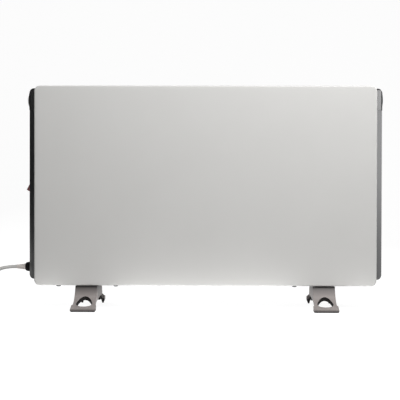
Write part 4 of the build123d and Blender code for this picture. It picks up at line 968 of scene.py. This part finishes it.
def make_end_covers(sizes):
    """The two moulded end covers and their caps, whose outer and upper rims are darker and matt: painted
    shade.
    """
    for side in ("left", "right"):
        softened(side + "_cheek", "graphite_plastic", width=sizes.moulding_edge, segments=3)
        cap = softened(side + "_pod", "black_plastic", width=sizes.moulding_edge, segments=3)
        cut_across(cap.data, (CAP_RIM_SHADE_X if side == "right" else -CAP_RIM_SHADE_X, 0.0, 0.0), (1.0, 0.0, 0.0))
        cut_across(cap.data, (0.0, 0.0, CAP_RIM_SHADE_Z), (0.0, 0.0, 1.0))
        centres = face_table(cap.data)[0]
        # painted shade: the rim faces take the darker, matt plastic
        second_finish(cap, "matt_plastic_and_rim_shade", (np.abs(centres[0]) > CAP_RIM_SHADE_X) | (centres[2] > CAP_RIM_SHADE_Z))


# ---- controls
NOTCH_DEPTH = 0.0008
POINTER_START = 0.006
POINTER_HALF_WIDTH = 0.0009
POINTER_DEPTH = 0.0005


def make_controls(sizes):
    """The dial with its finger notches and pointer, its blank counterpart, the rocker and its bezel."""
    low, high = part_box("thermostat_knob")
    middle_y, middle_z = (low[1] + high[1]) / 2, (low[2] + high[2]) / 2
    radius = 0.019
    rim = 0.002
    dome = high[0] - low[0] - rim
    sphere = (radius**2 + dome**2) / (2 * dome)
    radii = [radius * (1 - t) for t in np.linspace(0.0, 1.0, 26)[1:]]
    flank = [(rim + np.sqrt(sphere**2 - across**2) - (sphere - dome), across) for across in radii]
    profile = [(0.0, 0.0), (0.0, 0.010), (0.0, radius - 0.0006), (0.0004, radius), (rim * 0.6, radius)]
    profile += flank

    def notches(height, across, around):
        """Scallops: the radius dips by a depth times a sharp cosine, less towards the dome's middle."""
        depth = NOTCH_DEPTH * np.clip((across - 0.012) / 0.006, 0, 1)
        wave = np.clip(np.cos(around * sizes.knob_notches) - 0.35, 0, 1) / 0.65
        return across - depth * wave

    points = revolved(profile, 240, notches)
    # the pointer is a groove from the rim towards the middle, deepest on its middle line
    over = points[..., 0]
    beside = np.abs(points[..., 1])
    groove = np.clip(1 - beside / POINTER_HALF_WIDTH, 0, 1) * np.clip((over - POINTER_START) / 0.001, 0, 1)
    points[..., 2] -= POINTER_DEPTH * groove * (points[..., 2] > rim)
    points = placed(points, (high[0], middle_y, middle_z), (-1, 0, 0), (0, 0, 1))
    mesh = closed_up(grid_mesh("thermostat_knob_skin", points, False, True), 45.0)
    piece("thermostat_knob_skin", mesh, "black_plastic", DIAL, ["thermostat_knob"])

    dial = softened("blank_dial", "black_plastic")
    second_finish(dial, "matt_plastic_and_rim_shade", np.ones(len(dial.data.polygons), dtype=bool))
    softened("switch_rocker", "red_plastic", ROCKER, width=0.0005, segments=3)
    softened("switch_housing", "black_plastic", width=0.0003)


def make_gland(sizes):
    """The gland, and the pale sleeve: a cone with shallow rings that fade at its ends."""
    gland = softened("cable_gland", "black_plastic", width=0.0004, segments=2)
    second_finish(gland, "matt_plastic_and_rim_shade", np.ones(len(gland.data.polygons), dtype=bool))
    low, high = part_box("strain_relief")
    reach = high[0] - low[0]
    base, tip = 0.0062, 0.0041
    # the rings are 0.35 mm deep and lie between 0.35 and 0.9 of the sleeve's length
    s = np.linspace(0.0, 1.0, 90)
    cone = np.where(s < 0.25, base, base + (tip - base) * (s - 0.25) / 0.75)
    ring = np.clip(np.sin(pi * (s - 0.35) / 0.55), 0, 1) ** 0.3 * ((s > 0.35) & (s < 0.9))
    waves = 0.00035 * ring * (0.5 - 0.5 * np.cos(2 * pi * sizes.sleeve_rings * (s - 0.35) / 0.55))
    profile = [(0.0, 0.0)] + list(zip(s * reach, cone - waves)) + [(reach, 0.0)]
    root = (high[0], CONTROL_Y, (low[2] + high[2]) / 2)
    points = placed(revolved(profile, 72), root, (-1, 0, 0), (0, 1, 0))
    mesh = closed_up(grid_mesh("strain_relief_skin", points, False, True), 50.0)
    piece("strain_relief_skin", mesh, "pale_rubber", BODY, ["strain_relief"])


# ---- feet and fixings
HOLLOW_HALF_WIDTH = 0.0185
EYE_HALF_WIDTH = 0.0165
EYE_FRONT = -0.09
EYE_REAR = -0.044
EYE_TOP = 0.031


def paint_hollow_shade(foot):
    """Paints near-black shade on the faces that look into a foot's hollow, and on the wall of its eye.

    It is painted shade, as dark as these places are when in shade."""
    low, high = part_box(foot.name.removesuffix("_skin"))
    (x, y, z), (x_way, y_way, z_way) = face_table(foot.data)
    beside = x - (low[0] + high[0]) / 2
    under = (z_way < -0.2) & (z > 0.003)
    inside = np.abs(beside) < HOLLOW_HALF_WIDTH
    side_walls = (x_way * beside < 0) & (np.abs(x_way) > 0.5) & inside
    legs = (((y_way > 0.3) & (y < 0)) | ((y_way < -0.3) & (y > 0.04))) & inside
    in_eye = (np.abs(beside) < EYE_HALF_WIDTH) & (y > EYE_FRONT) & (y < EYE_REAR) & (z < EYE_TOP)
    eye = (np.abs(z_way) < 0.2) & in_eye
    # painted shade on the hollow's faces and the eye's wall
    second_finish(foot, "painted_hollow_shade", under | side_walls | legs | eye)


def make_feet(sizes):
    """The cast feet with rounded edges and painted shade in their hollows, and their rubber pads."""
    for side in ("left", "right"):
        foot = softened("foot_" + side, "cast_metal", width=sizes.casting_edge, segments=3, angle=28.0)
        paint_hollow_shade(foot)
    softened("foot_pads", "black_rubber")


CAP_PROUD = 0.0006
# seat, direction, radius and rise of each screw's head
SCREWS = {
    "panel_screws": [((x, -0.029, 0.0465), (0, 0, -1), 0.0045, 0.0025) for x in (-0.294, -0.179, 0.179)],
    "cheek_screws": [
        ((x, 0.047 + (CAP_PROUD if z > 0.399 else 0.0), z), (0, 1, 0), 0.0038, 0.0022)
        for x in (-0.333, 0.333)
        for z in (0.100, 0.250, 0.406)
    ],
    "cover_screws": [
        ((x, 0.0442, z), (0, 1, 0), 0.0038, 0.0022) for x in (-0.312, 0.312) for z in (0.100, 0.250, 0.400)
    ],
    "foot_screws": [
        ((x, y, 0.038), (0, 0, -1), 0.0046, 0.003) for x in (-0.238, 0.238) for y in (0.0, 0.026)
    ],
}


def screw_head(radius, rise):
    """A pan head with a cross recess on its crown.

    The crown is z = rise (1 - 0.3 (r/R)^2) with a rounded edge. The recess sinks by half the rise where the
    point lies within a tapered arm: min(|x|, |y|) under a width that narrows outwards."""
    r = np.concatenate([np.linspace(0.0, 0.9, 19), [0.95, 0.985, 1.0, 1.0]]) * radius
    turn = np.linspace(0.0, 2 * pi, 64, endpoint=False)
    crown = rise * (1 - 0.3 * (r / radius) ** 2)
    crown[-4:] = rise * np.array([0.66, 0.55, 0.4, 0.0])
    rr, tt = np.meshgrid(r, turn, indexing="ij")
    x, y = rr * np.cos(tt), rr * np.sin(tt)
    arm = np.minimum(np.abs(x), np.abs(y))
    width = radius * (0.19 - 0.12 * np.clip(rr / (0.62 * radius), 0, 1))
    sunk = np.clip((width - arm) / (0.05 * radius), 0, 1)
    sunk = sunk * np.clip((0.66 * radius - rr) / (0.08 * radius), 0, 1)
    z = np.repeat(crown[:, None], 64, 1) - 0.5 * rise * sunk
    return np.stack([x, y, z], axis=-1)


def make_fixings():
    """Screw heads with cross recesses on plain shanks, and the finish of the nuts and the earth screw."""
    finishes = {"foot_screws": "bright_steel"}
    for node, screws in SCREWS.items():
        heads = []
        for number, (seat, axis, radius, rise) in enumerate(screws):
            across = (1, 0, 0)
            spin = 0.4 + number * 0.9
            head = screw_head(radius, rise)
            turned = head @ np.array([[cos(spin), sin(spin), 0], [-sin(spin), cos(spin), 0], [0, 0, 1]])
            shank = revolved([(0.0, radius * 0.5), (-0.008, radius * 0.48), (-0.0085, 0.0)], 24)
            heads.append(grid_mesh("head", placed(turned, seat, axis, across), False, True))
            heads.append(grid_mesh("shank", placed(shank, seat, axis, across), False, True))
        mesh = closed_up(join_meshes(node + "_skin", heads), 40.0)
        piece(node + "_skin", mesh, finishes.get(node, "screw_steel"), BODY, [node])
    dress_nodes("bright_steel", "foot_nuts", "earth_screw")


# ---- works inside
def dress_nodes(finish, *nodes):
    """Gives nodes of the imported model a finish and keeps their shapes."""
    for node in nodes:
        dress(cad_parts[node], finish)


def make_works():
    """The heating element, its supports, the thermostat, the switches and the wiring."""
    dress_nodes("zinc_steel", "left_end_plate", "right_end_plate", "heat_shield")
    dress_nodes("zinc_steel", "panel_brackets", "panel_hooks", "element_brackets")
    dress_nodes("fin_aluminium", "heating_element")
    dress_nodes("bright_steel", "element_core", "element_terminals", "switch_terminals", "thermostat_spindle")
    dress_nodes("ceramic", "element_insulators", "terminal_block", "tilt_switch", "thermostat_body")
    dress_nodes("black_plastic", "thermal_cutout", "gland_nut")
    softened("thermostat_bulb", "bright_steel")
    softened("wiring", "wire_plastic")


# ---- operators
class HEATER_OT_finishes(bpy.types.Operator):
    """Makes the paints, plastics and metals"""

    bl_idname = "heater.finishes"
    bl_label = "Finishes"

    def execute(self, context):
        make_finishes(context.scene.heater_colours)
        return {"FINISHED"}


class HEATER_OT_stage(bpy.types.Operator):
    """Makes the pale ground, the soft lights and the camera"""

    bl_idname = "heater.stage"
    bl_label = "Stage"

    def execute(self, context):
        make_stage(context.scene.heater_sizes)
        return {"FINISHED"}


class HEATER_OT_plug(bpy.types.Operator):
    """Makes the plug at the cord's far end"""

    bl_idname = "heater.plug"
    bl_label = "Plug"

    def execute(self, context):
        make_plug()
        return {"FINISHED"}


class HEATER_OT_cord(bpy.types.Operator):
    """Makes the mains cord and the strap round its coil"""

    bl_idname = "heater.cord"
    bl_label = "Mains cord"

    def execute(self, context):
        make_cord(context.scene.heater_sizes)
        make_tie()
        return {"FINISHED"}


class HEATER_OT_front_panel(bpy.types.Operator):
    """Makes the crowned front sheet with its rolled edge"""

    bl_idname = "heater.front_panel"
    bl_label = "Front panel"

    def execute(self, context):
        make_front_panel(context.scene.heater_sizes)
        return {"FINISHED"}


class HEATER_OT_rear_shell(bpy.types.Operator):
    """Makes the rear shell and the outlet grille"""

    bl_idname = "heater.rear_shell"
    bl_label = "Rear shell"

    def execute(self, context):
        make_rear_shell()
        return {"FINISHED"}


class HEATER_OT_end_covers(bpy.types.Operator):
    """Makes the end covers and their caps"""

    bl_idname = "heater.end_covers"
    bl_label = "End covers"

    def execute(self, context):
        make_end_covers(context.scene.heater_sizes)
        return {"FINISHED"}


class HEATER_OT_controls(bpy.types.Operator):
    """Makes the dial, its blank counterpart and the rocker switch"""

    bl_idname = "heater.controls"
    bl_label = "Controls"

    def execute(self, context):
        make_controls(context.scene.heater_sizes)
        return {"FINISHED"}


class HEATER_OT_gland(bpy.types.Operator):
    """Makes the gland and the cord's sleeve"""

    bl_idname = "heater.gland"
    bl_label = "Gland and sleeve"

    def execute(self, context):
        make_gland(context.scene.heater_sizes)
        return {"FINISHED"}


class HEATER_OT_feet(bpy.types.Operator):
    """Makes the cast feet and their pads"""

    bl_idname = "heater.feet"
    bl_label = "Feet"

    def execute(self, context):
        make_feet(context.scene.heater_sizes)
        return {"FINISHED"}


class HEATER_OT_fixings(bpy.types.Operator):
    """Makes the screws and nuts"""

    bl_idname = "heater.fixings"
    bl_label = "Fixings"

    def execute(self, context):
        make_fixings()
        return {"FINISHED"}


class HEATER_OT_works(bpy.types.Operator):
    """Dresses the works inside"""

    bl_idname = "heater.works"
    bl_label = "Works inside"

    def execute(self, context):
        make_works()
        return {"FINISHED"}


STEPS = (
    HEATER_OT_finishes,
    HEATER_OT_stage,
    HEATER_OT_plug,
    HEATER_OT_cord,
    HEATER_OT_front_panel,
    HEATER_OT_rear_shell,
    HEATER_OT_end_covers,
    HEATER_OT_controls,
    HEATER_OT_gland,
    HEATER_OT_feet,
    HEATER_OT_fixings,
    HEATER_OT_works,
)


class HEATER_PT_panel(bpy.types.Panel):
    """Lists the heater's steps, sizes and colours"""

    bl_idname = "HEATER_PT_panel"
    bl_label = "Panel convector heater"
    bl_space_type = "VIEW_3D"
    bl_region_type = "UI"
    bl_category = "Heater"

    def draw(self, context):
        for step in STEPS:
            self.layout.operator(step.bl_idname)
        for group in (context.scene.heater_sizes, context.scene.heater_colours):
            for name in group.__annotations__:
                self.layout.prop(group, name)


CLASSES = (HeaterSizes, HeaterColours, *STEPS, HEATER_PT_panel)


def register():
    """Registers the classes and hangs the property groups on the scene."""
    for made in CLASSES:
        bpy.utils.register_class(made)
    bpy.types.Scene.heater_sizes = PointerProperty(type=HeaterSizes)
    bpy.types.Scene.heater_colours = PointerProperty(type=HeaterColours)


def unregister():
    """Undoes register."""
    del bpy.types.Scene.heater_colours
    del bpy.types.Scene.heater_sizes
    for made in reversed(CLASSES):
        bpy.utils.unregister_class(made)


def main():
    """Makes the whole heater."""
    register()
    for step in STEPS:
        group, name = step.bl_idname.split(".")
        getattr(getattr(bpy.ops, group), name)()
    bpy.context.view_layer.update()


if __name__ == "__main__":
    main()
